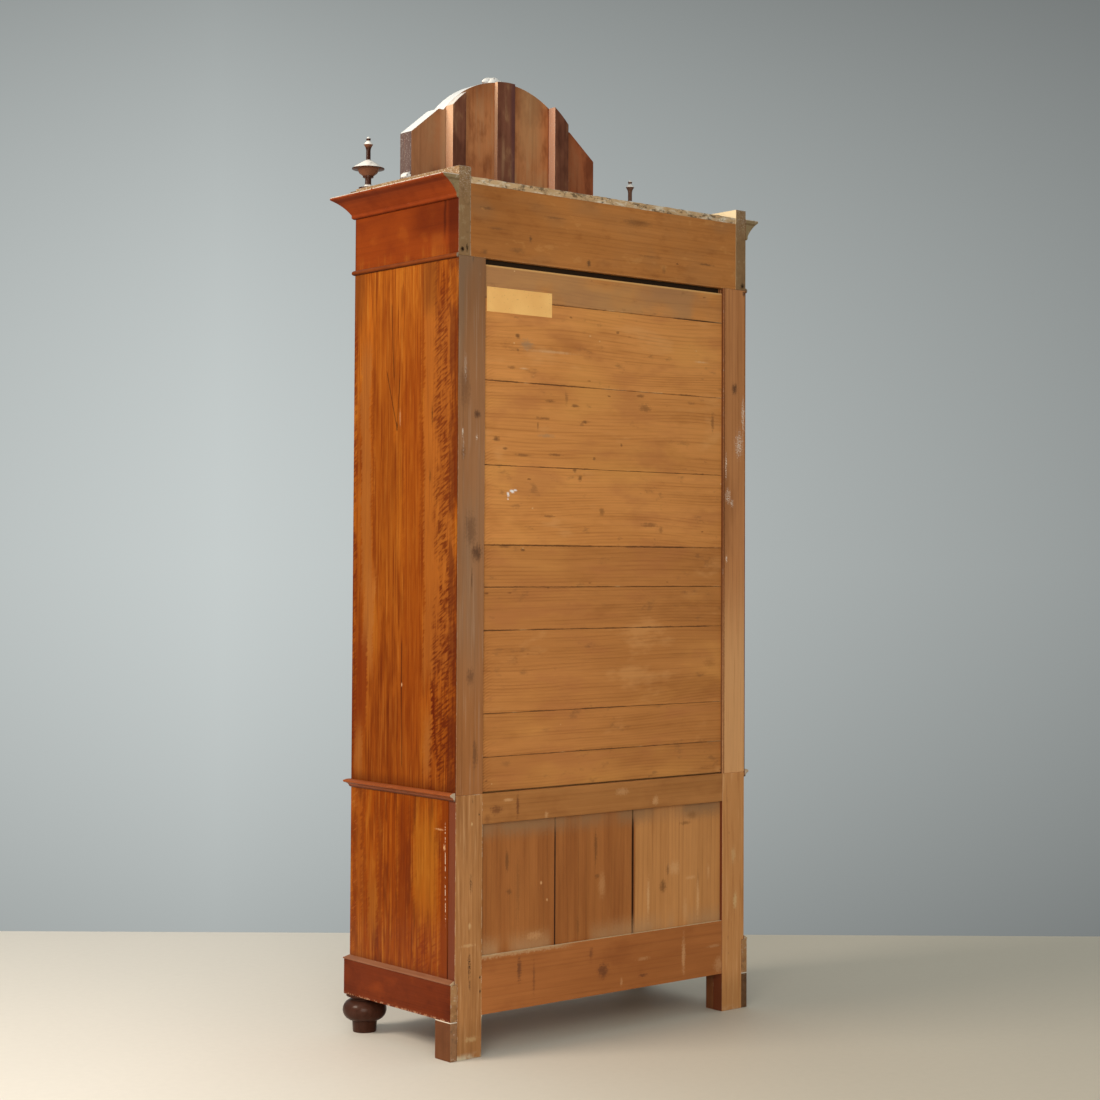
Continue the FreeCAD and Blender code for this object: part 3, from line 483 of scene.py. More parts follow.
def back_board_wood():
    levels = level_ends("upper_back_boards", 2)
    low, high = levels[0], levels[-1]
    starts = levels[0::2]
    wood = Timber(
        "fir back boards", 0, "cc8847", offset=2, line_gap=9 * mm, line_share=0.34, sway=0.1,
        knot_share=0.3)
    stops = [((start - low) / (high - low), (tint, tint ** 1.15, tint ** 1.2, 1))
             for start, tint in zip(starts, board_tints)]
    board_tint = wood.steps((wood.z - low) / (high - low), stops)
    wood.colour = wood.mix(1, wood.colour, board_tint, "MULTIPLY")
    golden = wood.pattern((2.5, 2.5, 7), (8, 1, 2)).rise(0.5, 0.72)
    wood.stained(golden * 0.45, "d8984e")
    ruddy = wood.pattern((3.5, 3.5, 9), (4, 6, 3), 4, 0.6)
    wood.veined(ruddy, (0.5, 0.66, 0.4, "ad6a3c"), (0.42, 0.3, 0.35, "dca062"))
    dull = wood.pattern((3, 3, 9), (3, 1, 2), 4, 0.65).rise(0.52, 0.75)
    wood.shaded(dull * 0.8, (0.78, 0.72, 0.66))
    top = wood.z.rise(starts[-1], starts[-1] + 1 * mm)
    wood.stained(top * wood.noise(wood.place, 5, 3).rise(0.38, 0.6) * 0.5, "9c7b58")
    wood.stained(top * wood.z.rise(high - 6 * mm, high - 3 * mm) * 0.8, "d9a868")
    wood.stained(wood.scatter((14, 14, 34), 0.11, 0.22, 2) * 0.7, "6a3c1e")
    smoky = wood.pattern((14, 14, 30), (5, 2, 9), 4, 0.65)
    wood.stained(smoky.rise(0.6, 0.74) * 0.45, "7c5230")
    wood.stained(wood.scatter((30, 30, 40), 0.1, 0.06, 7) * 0.7, "dcb884")
    bent = wood.z + (wood.x - 0.38) * (wood.x - 0.38) * 6 + (wood.stain + wood.rough * 0.3) * 0.02
    saw = (bent * (2 * pi / saw_pitch)).sine().rise(-0.2, 1)
    patchy = wood.pattern((6, 6, 6), (2, 3, 1)).rise(0.4, 0.62)
    wood.shaded(saw * wood.x.rise(0.385, 0.43) * patchy * 0.8, (0.76, 0.66, 0.6))
    bent_z = wood.z + (wood.rough - 0.5) * 5 * mm + (wood.fibre - 0.5) * 3 * mm
    seams = [bent_z.near(start, width * 2 * mm) for start, width in zip(starts[1:], seam_widths)]
    seam = reduce(Wire.most, seams)
    broken = wood.pattern((9, 9, 2), detail=4, roughness=0.65)
    wood.stained(seam * broken.rise(0.42, 0.6) * 0.75, "52301a")
    wood.stained(seam * broken.rise(0.44, 0.36) * 0.5, "dcb07a")
    wood.stained(wood.x.near(-0.36, 0.12) * wood.z.near(starts[-1], 3 * mm), "241208")
    wood.marked("6a4224", [
        (320, 1874, 9, 7, 0.9), (319, 1837, 4, 4, 0.9), (-35, 1910, 7, 5, 0.7), (340, 1790, 16, 5, 0.6),
        (232, 1661, 26, 4, 0.8), (250, 1640, 4, 12, 0.6), (208, 1708, 20, 4, 0.7), (120, 1700, 14, 5, 0.8),
        (150, 1720, 7, 18, 0.5), (84, 1658, 12, 5, 0.8), (-137, 1708, 26, 12, 0.6),
        (-120, 1740, 16, 5, 0.7), (-400, 1680, 7, 30, 0.6), (120, 1525, 9, 6, 0.8), (100, 1505, 9, 9, 0.8),
        (390, 1600, 14, 7, 0.9), (360, 1575, 10, 4, 0.8), (300, 1560, 30, 4, 0.7), (190, 1565, 24, 4, 0.8),
        (206, 1400, 22, 4, 0.7), (21, 1415, 10, 12, 0.6), (-158, 1382, 34, 8, 0.6),
        (-200, 1370, 10, 12, 0.5), (299, 1309, 9, 4, 0.9), (360, 1318, 22, 5, 0.7), (-50, 1600, 5, 5, 0.8),
        (50, 1560, 6, 5, 0.7)], 0.85)
    wood.marked("8a7a62", [(289, 1853, 26, 16, 0.5), (220, 1615, 30, 6, 0.4)])
    wood.marked("d8b084", [(200, 1840, 90, 4, 0.4), (300, 1790, 14, 3, 0.6), (-350, 1850, 30, 3, 0.5)])
    wood.marked("efe9e4", [
        (338, 1463, 9, 5, 1), (350, 1454, 5, 8, 1), (326, 1466, 7, 3, 1), (350, 1442, 3, 3, 1)])
    return wood.done(depth=0.6 * mm)


def base_board_wood():
    ends = level_ends("base_back_boards", 0)
    low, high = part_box("base_back_boards")
    wood = Timber(
        "fir base boards", 2, "ba8049", offset=8, line_gap=15 * mm, line_share=0.22, sway=0.06,
        knot_share=0.3)
    wood.shaded(wood.x.rise(-0.109, -0.107), (0.7, 0.56, 0.44))
    stripe = wood.pattern((22, 22, 1.4), (3, 4, 2)).rise(0.5, 0.7)
    wood.shaded(stripe * 0.7, (0.78, 0.7, 0.64))
    for end in ends[1:-1]:
        wood.stained(wood.x.near(end, 3 * mm) * 0.9, "2e1810")
    smear = wood.pattern((9, 9, 2), (1, 4, 2)).rise(0.35, 0.6)
    edge = (wood.rough - 0.5) * 0.03 + wood.z
    wood.stained(edge.rise(high.z - 0.07, high.z - 0.02) * (0.3 + smear * 0.6), "8f6a48")
    wood.stained(edge.rise(low.z + 0.075, low.z + 0.008) * smear * 0.7, "ac845c")
    wood.marked("68401f", [
        (345, 494, 7, 28, 0.8), (338, 413, 11, 9, 0.7), (308, 420, 8, 110, 0.4), (36, 505, 8, 50, 0.7),
        (30, 425, 10, 8, 0.7), (-214, 376, 13, 19, 0.8), (-232, 420, 7, 16, 0.7), (-325, 565, 24, 14, 0.5),
        (-300, 545, 26, 6, 0.6), (100, 300, 8, 30, 0.4), (-350, 380, 6, 40, 0.3)], 0.85)
    wood.marked("cd9c6a", [
        (229, 426, 4, 5, 0.9), (208, 379, 4, 5, 0.9), (250, 290, 30, 12, 0.4), (13, 400, 15, 40, 0.3),
        (-157, 351, 6, 60, 0.8), (-349, 326, 6, 60, 0.8), (-256, 422, 24, 22, 0.6), (-320, 390, 20, 6, 0.7),
        (-390, 400, 5, 26, 0.6), (-300, 300, 10, 40, 0.4)])
    return wood.done(depth=0.6 * mm)


def rail_wood(name, mean, offset):
    wood = Timber(
        name, 0, mean, offset=offset, line_gap=12 * mm, line_share=0.2, sway=0.05, knot_share=0.15)
    cloud = wood.pattern((5, 5, 9), (offset, 2, 1), 4, 0.6)
    wood.shaded(cloud.rise(0.5, 0.72) * 0.8, (0.8, 0.74, 0.7))
    return wood


def base_top_rail_wood():
    wood = rail_wood("base top rail wood", "a66e3a", 14)
    wood.marked("683a1e", [(390, 630, 22, 14, 0.7), (318, 636, 6, 34, 0.8), (420, 610, 12, 14, 0.4)])
    wood.marked("c79766", [
        (-175, 617, 12, 14, 0.7), (-50, 650, 26, 12, 0.5), (220, 605, 8, 14, 0.6), (350, 655, 16, 5, 0.8)])
    return wood.done()


def base_low_rail_wood():
    wood = rail_wood("base low rail wood", "a0602f", 17)
    wood.marked("5c3420", [
        (16, 171, 22, 24, 0.7), (310, 211, 8, 40, 0.7), (260, 180, 5, 50, 0.4), (-130, 140, 20, 5, 0.7),
        (60, 220, 8, 20, 0.5)])
    wood.marked("bd8a5c", [
        (-284, 179, 8, 62, 0.9), (-132, 186, 26, 6, 0.5), (-50, 130, 5, 14, 0.6), (-422, 135, 22, 26, 0.6),
        (-400, 190, 30, 5, 0.5)])
    dusty = (wood.z + (wood.rough - 0.5) * 0.02).rise(0.246, 0.256) * wood.x.rise(0.1, 0.2)
    wood.stained(dusty * 0.7, "b8946c")
    wood.dusted("cdb088", 0.5, 0.9)
    wood.chipped("cfae80", width=3 * mm, share=0.35)
    return wood.done()


def frieze_back_wood():
    wood = Timber(
        "frieze back board", 0, "b37338", offset=11, line_gap=10 * mm, line_share=0.22, sway=0.05,
        knot_share=0.2)
    wood.shaded(wood.x.rise(0.1, 0.45), (0.76, 0.72, 0.68))
    grey = wood.pattern((4, 4, 8)).rise(0.45, 0.7)
    wood.stained(grey * 0.3, "86694a")
    wood.stained(wood.scatter((12, 12, 26), 0.08, 0.16, 3) * 0.8, "553219")
    wood.stained(wood.edges(3 * mm) * wood.z.rise(2.1, 2.08) * wood.rough.rise(0.35, 0.55), "c9ab80")
    wood.marked("5e4026", [
        (430, 2200, 24, 5, 0.5), (400, 2150, 30, 5, 0.4), (440, 2085, 12, 8, 0.5), (80, 2090, 8, 10, 0.8),
        (285, 2135, 6, 10, 0.7), (200, 2200, 40, 4, 0.4), (-150, 2130, 50, 4, 0.4),
        (-360, 2130, 36, 4, 0.6), (-200, 2100, 8, 14, 0.4), (330, 2100, 30, 8, 0.4),
        (-100, 2220, 60, 10, 0.4)])
    smoky = wood.pattern((12, 12, 30), (1, 6, 2), 4, 0.65)
    wood.veined(smoky, (0.52, 0.7, 0.7, (0.8, 0.74, 0.68)), (0.42, 0.32, 0.4, "c4884a"))
    return wood.done()


def dusty_top_wood():
    """The rough back edge of the top board, cream with age and stained black in places."""
    wood = Timber("dusty top wood", 0, "c8a67c", offset=19, line_gap=6 * mm, line_share=0.25, sway=0.04)
    blotch = wood.pattern((40, 40, 80), (2, 3, 4), 5, 0.7)
    worn = wood.pattern((24, 24, 70), (7, 1, 2), 5, 0.7)
    wood.stained(worn.rise(0.48, 0.66) * 0.7, "e6dcc6")
    wood.stained(blotch.rise(0.5, 0.62) * 0.8, "5c4832")
    wood.dusted("e6e0d4", 0.4, 0.8)
    return wood.done(depth=0.8 * mm)


def crest_wood(name, mean, offset):
    wood = Timber(name, 2, mean, offset=offset, line_gap=16 * mm, line_share=0.12, sway=0.03)
    cloud = wood.pattern((12, 12, 6), (offset, 1, 3), 4, 0.6)
    wood.veined(cloud, (0.46, 0.62, 1, (0.62, 0.53, 0.48)), (0.46, 0.32, 0.45, "b98e62"))
    streaks = wood.pattern((48, 48, 3), (offset, 5, 2), 4, 0.6)
    wood.veined(streaks, (0.5, 0.66, 0.8, (0.76, 0.68, 0.62)), (0.45, 0.34, 0.3, "b08a64"))
    wood.stained(wood.scatter((34, 34, 34), 0.06, 0.1, offset) * 0.8, "c9a888")
    return wood


def crest_panel_wood():
    wood = crest_wood("crest panel wood", "b77647", 4)
    worn_end = wood.facing_x.rise(0.6, 0.95)
    wood.shaded(wood.x.rise(-0.155, -0.165), (0.68, 0.5, 0.46))
    wood.stained(wood.x.rise(0.18, 0.2) * 0.45, "7d5c44")
    wood.stained(wood.x.near(0.225, 0.022) * 0.5, "b0906e")
    wood.stained(wood.x.inside(-0.13, -0.05, 0.02) * wood.z.rise(2.4, 2.55) * 0.5, "b08458")
    wood.shaded(wood.z.rise(2.56, 2.66) * wood.x.inside(-0.05, 0.17, 0.02) * 0.8, (0.62, 0.52, 0.46))
    wood.shaded(wood.x.inside(0.05, 0.17, 0.02) * wood.z.rise(2.5, 2.36) * 0.5, (0.8, 0.6, 0.5))
    wood.stained(worn_end * 0.9, "4c3d3c")
    wood.stained(worn_end * wood.specks.rise(0.62, 0.7), "d9d2cc")
    wood.stained(wood.facing_z.rise(0.15, 0.4), "eeedea")
    return wood.done()


def batten_wood():
    wood = crest_wood("crest batten wood", "764732", 6)
    lit_side = wood.facing_x.rise(0.5, 0.9)
    wood.shaded(wood.x.near(0.16, 24 * mm) * 0.8, (0.8, 0.7, 0.66))
    wood.stained(wood.x.inside(-0.05, -0.008, 0.006) * 0.5, "4e2c34")
    wood.stained(lit_side * 0.95, "c28a68")
    wood.stained(lit_side * wood.x.rise(-0.1, -0.15) * 0.9, "edb492")
    wood.stained(lit_side * wood.x.rise(-0.05, 0) * wood.z.rise(2.3, 2.6) * 0.6, "dcb692")
    wood.stained(lit_side * wood.specks.rise(0.62, 0.7) * 0.7, "eee0d4")
    wood.dusted("e4ddd4", 0.3, 0.7)
    wood.chipped("e0c4a8", width=2 * mm, share=0.4)
    return wood.done()


# Polished wood: mouldings, plinth and the front
class Polished(Timber):
    """Darker polished walnut with a worn shine, and raw ends where it was sawn off at the back."""

    def __init__(self, name, along, mean, **others):
        super().__init__(name, along, mean, gloss=0.06, Coat_Roughness=0.16, **varnish_tints, **others)
        self.coat = 0.16
        blotch = self.noise(self.place, 14, 3, 0.6).rise(0.4, 0.7)
        self.shaded(blotch * 0.7, (0.74, 0.66, 0.6))

    def raw_ends(self, colour):
        ends = self.facing_y.rise(0.7, 0.95) * self.y.rise(back_y - 3 * mm, back_y - 1 * mm)
        grey = self.noise(self.place, 70, 4, 0.7)
        self.stained(ends, colour)
        self.stained(ends * grey.rise(0.52, 0.66) * 0.4, "4e3f34")
        self.stained(ends * grey.rise(0.42, 0.34) * 0.4, "c4b6a4")

    def shine(self):
        self.feed("Coat Weight", self.coat * (1 - self.facing_y.rise(0.7, 0.95)))
        return self.done(0.15 * mm, (0.28, 0.42), 0.35)


def moulding_wood(name, along, mean, raw, offset):
    wood = Polished(name, along, mean, offset=offset, line_gap=7 * mm, line_share=0.25, sway=0.03)
    wood.raw_ends(raw)
    wood.chipped("c99a78", width=3 * mm, share=0.3)
    return wood


def cornice_wood():
    wood = moulding_wood("cornice walnut", 1, "7c330f", "8c7756", 3)
    # Painted shadow lines: a dark band across the cornice's mouldings and another along its lower edge
    wood.shaded(wood.z.inside(*cornice_shadow_line, 1 * mm) * 0.6, (0.5, 0.4, 0.35))
    wood.shaded(wood.z.near(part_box("cornice_moulding")[0].z, 5 * mm) * 0.8, (0.5, 0.4, 0.36))
    # A pale line along the cornice's very top edge
    pale_top_edge = wood.z.rise(cornice_pale_edge_z, cornice_pale_edge_z + 1.5 * mm) * wood.rough.rise(0.3, 0.5)
    wood.stained(pale_top_edge, "cdbfb0")
    wood.dusted("c9beb0", 0.6, 0.95, 0.7)
    return wood.shine()


def bead_wood():
    low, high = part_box("frieze_bead")
    wood = moulding_wood("bead walnut", 1, "6e3410", "8a7864", 9)
    wood.shaded(wood.z.rise(high.z * 0.4 + low.z * 0.6, low.z), (0.4, 0.34, 0.34))
    return wood.shine()


def waist_wood():
    wood = moulding_wood("waist walnut", 1, "8a4824", "b29c84", 2)
    # Painted shade on the moulding's lower part, which faces down
    wood.shaded(wood.z.rise(0.668, 0.664) * 0.9, (0.36, 0.32, 0.32))
    return wood.shine()


def plinth_wood():
    wood = moulding_wood("plinth walnut", 1, "64260a", "a17850", 7)
    wood.coat = 0.05
    cloud = wood.pattern((5, 7, 12), (3, 5, 1), 4, 0.6)
    wood.veined(cloud, (0.5, 0.7, 0.5, "873a10"), (0.46, 0.34, 0.8, (0.7, 0.6, 0.55)))
    wood.stained(wood.z.rise(0.108, 0.1) * wood.rough.rise(0.5, 0.6), "b98c6a")
    return wood.shine()


def packing_wood():
    wood = moulding_wood("leg packing wood", 2, "6a4026", "8a6446", 12)
    wood.shaded(wood.x.rise(0, -0.01) * wood.facing_y.rise(0.5, 0.9), (0.5, 0.5, 0.5))
    wood.stained(wood.z.rise(97 * mm, 99 * mm), "ddd2c0")
    return wood.shine()


def front_walnut(name, along, offset=0):
    """The front's figured walnut: wavy dark lines, curl across them and a warm polish."""
    wood = Polished(
        name, along, "82441a", offset=offset, line_gap=20 * mm, line_share=0.35, sway=0.16, fibre_share=0.2)
    curl = wood.pattern(axis_scales(along, 60, 9), detail=1).rise(0.45, 0.7)
    wood.stained(curl * 0.1, "b8733c")
    fine = wood.pattern(axis_scales(along, 5, 170), (offset, 2, 1))
    wood.veined(fine, (0.52, 0.66, 0.5, "54240c"), (0.46, 0.32, 0.35, "a66a34"))
    dark = wood.pattern(axis_scales(along, 1.5, 16), (offset, 4, 7)).rise(0.55, 0.75)
    wood.shaded(dark * 0.8, (0.62, 0.5, 0.42))
    return wood.shine()


def dark_turned_wood(name, mean="40261d"):
    wood = Polished(name, 2, mean, offset=3.3, line_gap=8 * mm, line_share=0.3, sway=0.03)
    wood.chipped("8f6a50", width=2 * mm, share=0.15)
    return wood


def finial_wood():
    wood = dark_turned_wood("finial walnut", "3c221a")
    wood.stained(wood.facing_z.rise(-0.25, -0.6) * wood.x.rise(-0.1, 0.1) * 0.6, "8a5a42")
    wood.stained(wood.x.rise(0.1, -0.1) * 0.6, "84604e")
    wood.dusted("efebe6", 0.3, 0.6)
    return wood.shine()


def carved_wood():
    wood = dark_turned_wood("carved walnut", "5a3120")
    wood.stained(wood.facing_z.rise(-0.5, 0.2) * wood.rough.rise(0.3, 0.42), "f2efea")
    return wood.shine()


# Veneered sides
class Figured(Timber):
    """Walnut veneer: upright streaks, feathered bands and slanting curl."""

    def __init__(self, name, mean, offset):
        super().__init__(
            name, 2, mean, offset, line_gap=23 * mm, line_share=0.1, stain_share=0.4, sway=0.09,
            fibre_share=0.2, gloss=0.05, Coat_Weight=0.1, Coat_Roughness=0.12, **varnish_tints)
        slanted = self.joined(offset, self.y * 34, (self.z - self.y * 0.55) * 150)
        self.curl = self.noise(slanted)
        wander = self.pattern((1, 2, 3.5), (offset, 1, 2))
        self.feathered = self.y + (self.curl - 0.5) * 0.035 + (wander - 0.5) * 0.05
        blotch = self.pattern((1, 34, 7), (offset, 5, 1), 3, 0.6)
        self.tiger = (self.curl.rise(0.42, 0.6) * 0.8 + 0.2) * blotch.rise(0.34, 0.56)
        upright = self.pattern((1, 60, 2.2), (0, offset, 3))
        fine = self.pattern((1, 190, 6), (4, offset, 6))
        self.cloud = self.pattern((1, 20, 5), (offset, 7, 3), 4, 0.6)
        self.shaded(self.cloud.rise(0.46, 0.66), (0.72, 0.6, 0.45))
        self.veined(upright, (0.52, 0.72, 0.5, "6c2a04"), (0.46, 0.3, 0.45, "9a5814"))
        self.veined(fine, (0.52, 0.66, 0.6, "5c2004"), (0.46, 0.32, 0.45, "a86a26"))
        self.stained(self.cloud.rise(0.44, 0.3) * 0.5, "a2621c")

    def banded(self, rows):
        """Feathered bands: two sides, two ends, how soft these are (in mm and in m), share and colour."""
        for low, high, bottom, top, soft, fade, share, colour in rows:
            band = self.feathered.inside(low, high, soft * mm) * self.z.inside(bottom, top, fade)
            self.stained(band * share, colour)


def upper_side_veneer():
    wood = Figured("upper side veneer", "8f4b0f", 0)
    wood.shaded(wood.z.rise(1.4, 0.85), (0.84, 0.74, 0.76))
    wood.banded([
        (0.03, 0.115, 0.8, 1.85, 12, 0.2, 0.5, "7a3404"),
        (-0.1, 0, 1.2, 1.9, 14, 0.2, 0.35, "6e3206"),
        (0.122, 0.25, 0.98, 1.95, 4, 0.06, 0.6, "90521e"),
        (0.135, 0.165, 0.72, 0.86, 8, 0.05, 0.6, "8f5624"),
        (-0.168, -0.12, 1.2, 1.86, 4, 0.06, 0.7, "895020"),
        (-0.15, -0.1, 1, 1.24, 4, 0.06, 0.6, "935a28"),
        (-0.19, -0.15, 0.7, 0.84, 4, 0.06, 0.5, "915826")])
    wood.stained(wood.feathered.near(0.113, 12 * mm) * wood.z.inside(1.2, 1.9, 0.1) * 0.5, "642403")
    wood.stained(wood.feathered.near(-0.108, 10 * mm) * wood.z.inside(1.3, 1.8, 0.1) * 0.5, "682a05")
    wood.banded([(-0.185, -0.13, 0.83, 1.08, 4, 0.06, 0.75, "6c2806")])
    dense = wood.feathered.inside(0.17, 0.24, 0.012) * 0.45 + wood.z.rise(1.4, 1) * 0.3 + 0.35
    wood.stained(wood.feathered.rise(0.155, 0.175) * wood.tiger * dense.least(0.9), "541a04")
    wood.stained(wood.y.rise(0.228, 0.234) * wood.cloud.rise(0.42, 0.56) * 0.6, "4c1a08")
    wood.stained(wood.feathered.rise(-0.168, -0.19) * wood.tiger * 0.85, "602004")
    wood.stained(wood.slash(wood.feathered, (0.165, 0.966), (0.188, 0.776), 9 * mm) * 0.85, "521602")
    front_corner = wood.y.rise(-0.12, -0.19) * wood.z.rise(1.86, 2)
    rear_corner = wood.y.inside(0.11, 0.18, 0.02) * wood.z.rise(1.9, 1.97)
    wood.stained((front_corner + rear_corner) * 0.6, "6c3a12")
    wood.stained(wood.z.rise(0.72, 0.68) * 0.5, "4c1c06")
    cracks = wood.marks([(1, 1638, 5, 16, 0.9), (158, 1660, 4, 34, 0.7), (150, 1500, 6, 22, 0.5)], 1)
    # The two ends of each crack, its width and how far it wanders
    for start, end, width, wobble in (
            ((-0.047, 1.787), (0.001, 1.633), 2.6, 0.01), ((0.012, 1.765), (0.001, 1.633), 2.2, 0.008),
            ((-0.026, 1.966), (-0.014, 1.768), 2.2, 0.01), ((0.031, 1.063), (0.035, 0.735), 2.3, 0.014),
            ((0.02, 2.01), (0.018, 1.93), 1.1, 0.014)):
        cracks = cracks.most(wood.slash(wood.y, start, end, width * mm, wobble))
    wood.stained(cracks * 0.85, "2c1408")
    wood.marked("c79a70", [(31, 950, 3, 6, 0.8), (15, 1660, 4, 26, 0.3)], axis=1)
    return wood.done(0.12 * mm, (0.3, 0.42), 0.3)


def base_side_veneer():
    wood = Figured("base side veneer", "843c05", 6.5)
    front_edge = wood.feathered.rise(-0.155, -0.17)
    wood.stained(wood.feathered.rise(-0.12, -0.16) * 0.35, "a05a1c")
    wood.stained(wood.cloud.rise(0.52, 0.66) * 0.6, "5e2606")
    wood.banded([
        (0.09, 0.19, 0.36, 0.62, 16, 0.08, 0.45, "9c6018"),
        (-0.115, -0.075, 0.28, 0.43, 8, 0.06, 0.7, "8e5016"),
        (0.015, 0.065, 0.25, 0.66, 14, 0.06, 0.6, "682703"),
        (-0.07, -0.05, 0.3, 0.64, 6, 0.06, 0.6, "6c2c06"),
        (-0.145, -0.13, 0.3, 0.66, 5, 0.06, 0.6, "6c2c06"),
        (0.1, 0.2, 0.2, 0.33, 14, 0.06, wood.tiger * 0.8, "6a2504")])
    wood.stained(wood.feathered.rise(0.2, 0.218) * 0.85, "702d04")
    wood.stained(front_edge * wood.tiger * 0.9, "752c04")
    wood.stained(front_edge * wood.curl.rise(0.56, 0.66) * 0.5, "9c5c26")
    wood.stained(wood.z.rise(0.225, 0.2) * 0.5, "4c1c06")
    scratch = wood.slash(wood.y, (0.226, 0.6), (0.23, 0.34), 1.6 * mm, 0.006)
    wood.stained(scratch * wood.rough.rise(0.45, 0.55), "e4cdb0")
    wood.stained(wood.slash(wood.y, (0.236, 0.36), (0.238, 0.2), 2 * mm, 0.004) * 0.8, "3a1408")
    wood.marked("d0a070", [(222, 540, 4, 9, 0.9), (200, 585, 20, 3, 0.5)], axis=1)
    return wood.done(0.12 * mm, (0.3, 0.42), 0.3)


def frieze_side_wood():
    wood = Timber(
        "frieze side walnut", 1, "753008", offset=1.7, line_gap=18 * mm, line_share=0.1, stain_share=0.8,
        sway=0.05, gloss=0.05, Coat_Roughness=0.14, **varnish_tints)
    cloud = wood.pattern((6, 10, 16), detail=4, roughness=0.6)
    wood.veined(cloud, (0.5, 0.72, 0.5, "642407"), (0.45, 0.3, 0.35, "8a4410"))
    low_streak = wood.pattern((6, 60, 7)).rise(0.5, 0.7)
    wood.stained(low_streak * wood.z.rise(2.12, 2.08) * 0.5, "8f5218")
    wood.shaded(wood.y.rise(0.02, 0.12) * wood.z.rise(2.11, 2.16) * 0.8, (0.6, 0.48, 0.4))
    streak = (wood.y + (cloud - 0.5) * 0.02).near(0.208, 9 * mm)
    wood.shaded(streak * wood.z.rise(2.1, 2.16), (0.5, 0.42, 0.4))
    wood.shaded(wood.y.rise(0.215, 0.232), (0.62, 0.52, 0.5))
    wood.shaded(wood.y.rise(front_y + 12 * mm, front_y) * 0.6, (0.5, 0.4, 0.4))
    wood.stained(wood.y.inside(0.15, 0.2, 0.012) * wood.z.rise(2.15, 2.12) * 0.35, "8a4a16")
    outside = wood.facing_x.size().rise(0.6, 0.9)
    outside = outside * wood.x.size().rise(half_width - 3 * mm, half_width - 1 * mm)
    outside = outside * wood.z.rise(cornice_top - 6 * mm, cornice_top - 8 * mm)
    bare = 1 - outside.most(wood.facing_y.rise(-0.6, -0.9))
    grey = wood.noise(wood.place, 50, 4, 0.7)
    wood.stained(bare, "896a49")
    wood.stained(bare * grey.rise(0.5, 0.7) * 0.4, "5c4430")
    wood.stained(bare * grey.rise(0.42, 0.34) * 0.35, "a4906e")
    wood.stained(bare * wood.z.rise(2.2, 2.29) * wood.specks.rise(0.56, 0.66) * 0.7, "d8d0c0")
    wood.stained(bare * wood.x.near(0.487, 1.2 * mm) * wood.rough.rise(0.4, 0.55) * 0.5, "c8bba8")
    wood.stained((wood.facing_x * wood.x).rise(-0.2, -0.4), "dcc6a0")
    wood.marked("1c100a", [(513, 2085, 7, 7, 1), (497, 2090, 4, 12, 0.9), (-512, 2082, 8, 9, 0.9)])
    wood.dusted("d6d0c4", 0.5, 0.9)
    wood.feed("Coat Weight", 0.1 * outside)
    return wood.done(0.3 * mm, (0.34, 0.5))


# Inside, metal and glass
def inside_timber(name, along, offset=0):
    wood = Timber(name, along, "b98a56", offset=offset, line_gap=10 * mm, sway=0.06, knot_share=0.25)
    # Painted shadow: nearly black on the backmost strip just under the frieze, for the deep shade in the gap
    # above the top board
    gap_shadow = wood.y.rise(back_y - 26 * mm, back_y - 22 * mm)
    wood.shaded(gap_shadow * wood.z.rise(frieze_z - 30 * mm, frieze_z - 22 * mm), (0.05, 0.05, 0.05))
    return wood.done()


def aged_metal(name, pale, dark, roughness):
    metal = Finish(name, Metallic=1)
    cloud = metal.noise(metal.place, 90, 4, 0.6)
    spots = metal.noise(metal.place, 420, 2).rise(0.55, 0.7)
    colour = metal.mix(cloud.rise(0.35, 0.7), tone(pale), tone(dark))
    metal.feed("Base Color", metal.mix(spots * 0.5, colour, tone("2a2016")))
    metal.feed("Roughness", roughness + cloud * 0.25)
    metal.raise_surface(cloud, 0.2 * mm, 0.3)
    return metal.material


def mirror_silver():
    glass = Finish("old mirror", Metallic=1, Coat_Weight=1, Coat_Roughness=0.01)
    low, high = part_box("door_mirror")
    rim = glass.x.size().rise(high.x - 0.05, high.x) + glass.z.rise(low.z + 0.05, low.z)
    foxing = (glass.noise(glass.place, 60, 4, 0.7) + rim * 0.14).rise(0.66, 0.76)
    glass.feed("Base Color", glass.mix(foxing * 0.6, tone("e2e6e6"), tone("6d675c")))
    glass.feed("Roughness", 0.02 + foxing * 0.25)
    return glass.material


def soften(names, width):
    """Joins the loose triangles of CAD nodes into whole faces and takes the sharpness off their edges."""
    for name in names.split():
        for label, kind, settings in (
                ("joined corners", "WELD", {"merge_threshold": 0.01 * mm}),
                ("whole faces", "DECIMATE", {"decimate_type": "DISSOLVE", "angle_limit": radians(0.5)}),
                ("worn edges", "BEVEL", {**edge_rounding, "width": width, "segments": 2})):
            made = nodes[name].modifiers.new(label, kind)
            for setting, value in settings.items():
                setattr(made, setting, value)


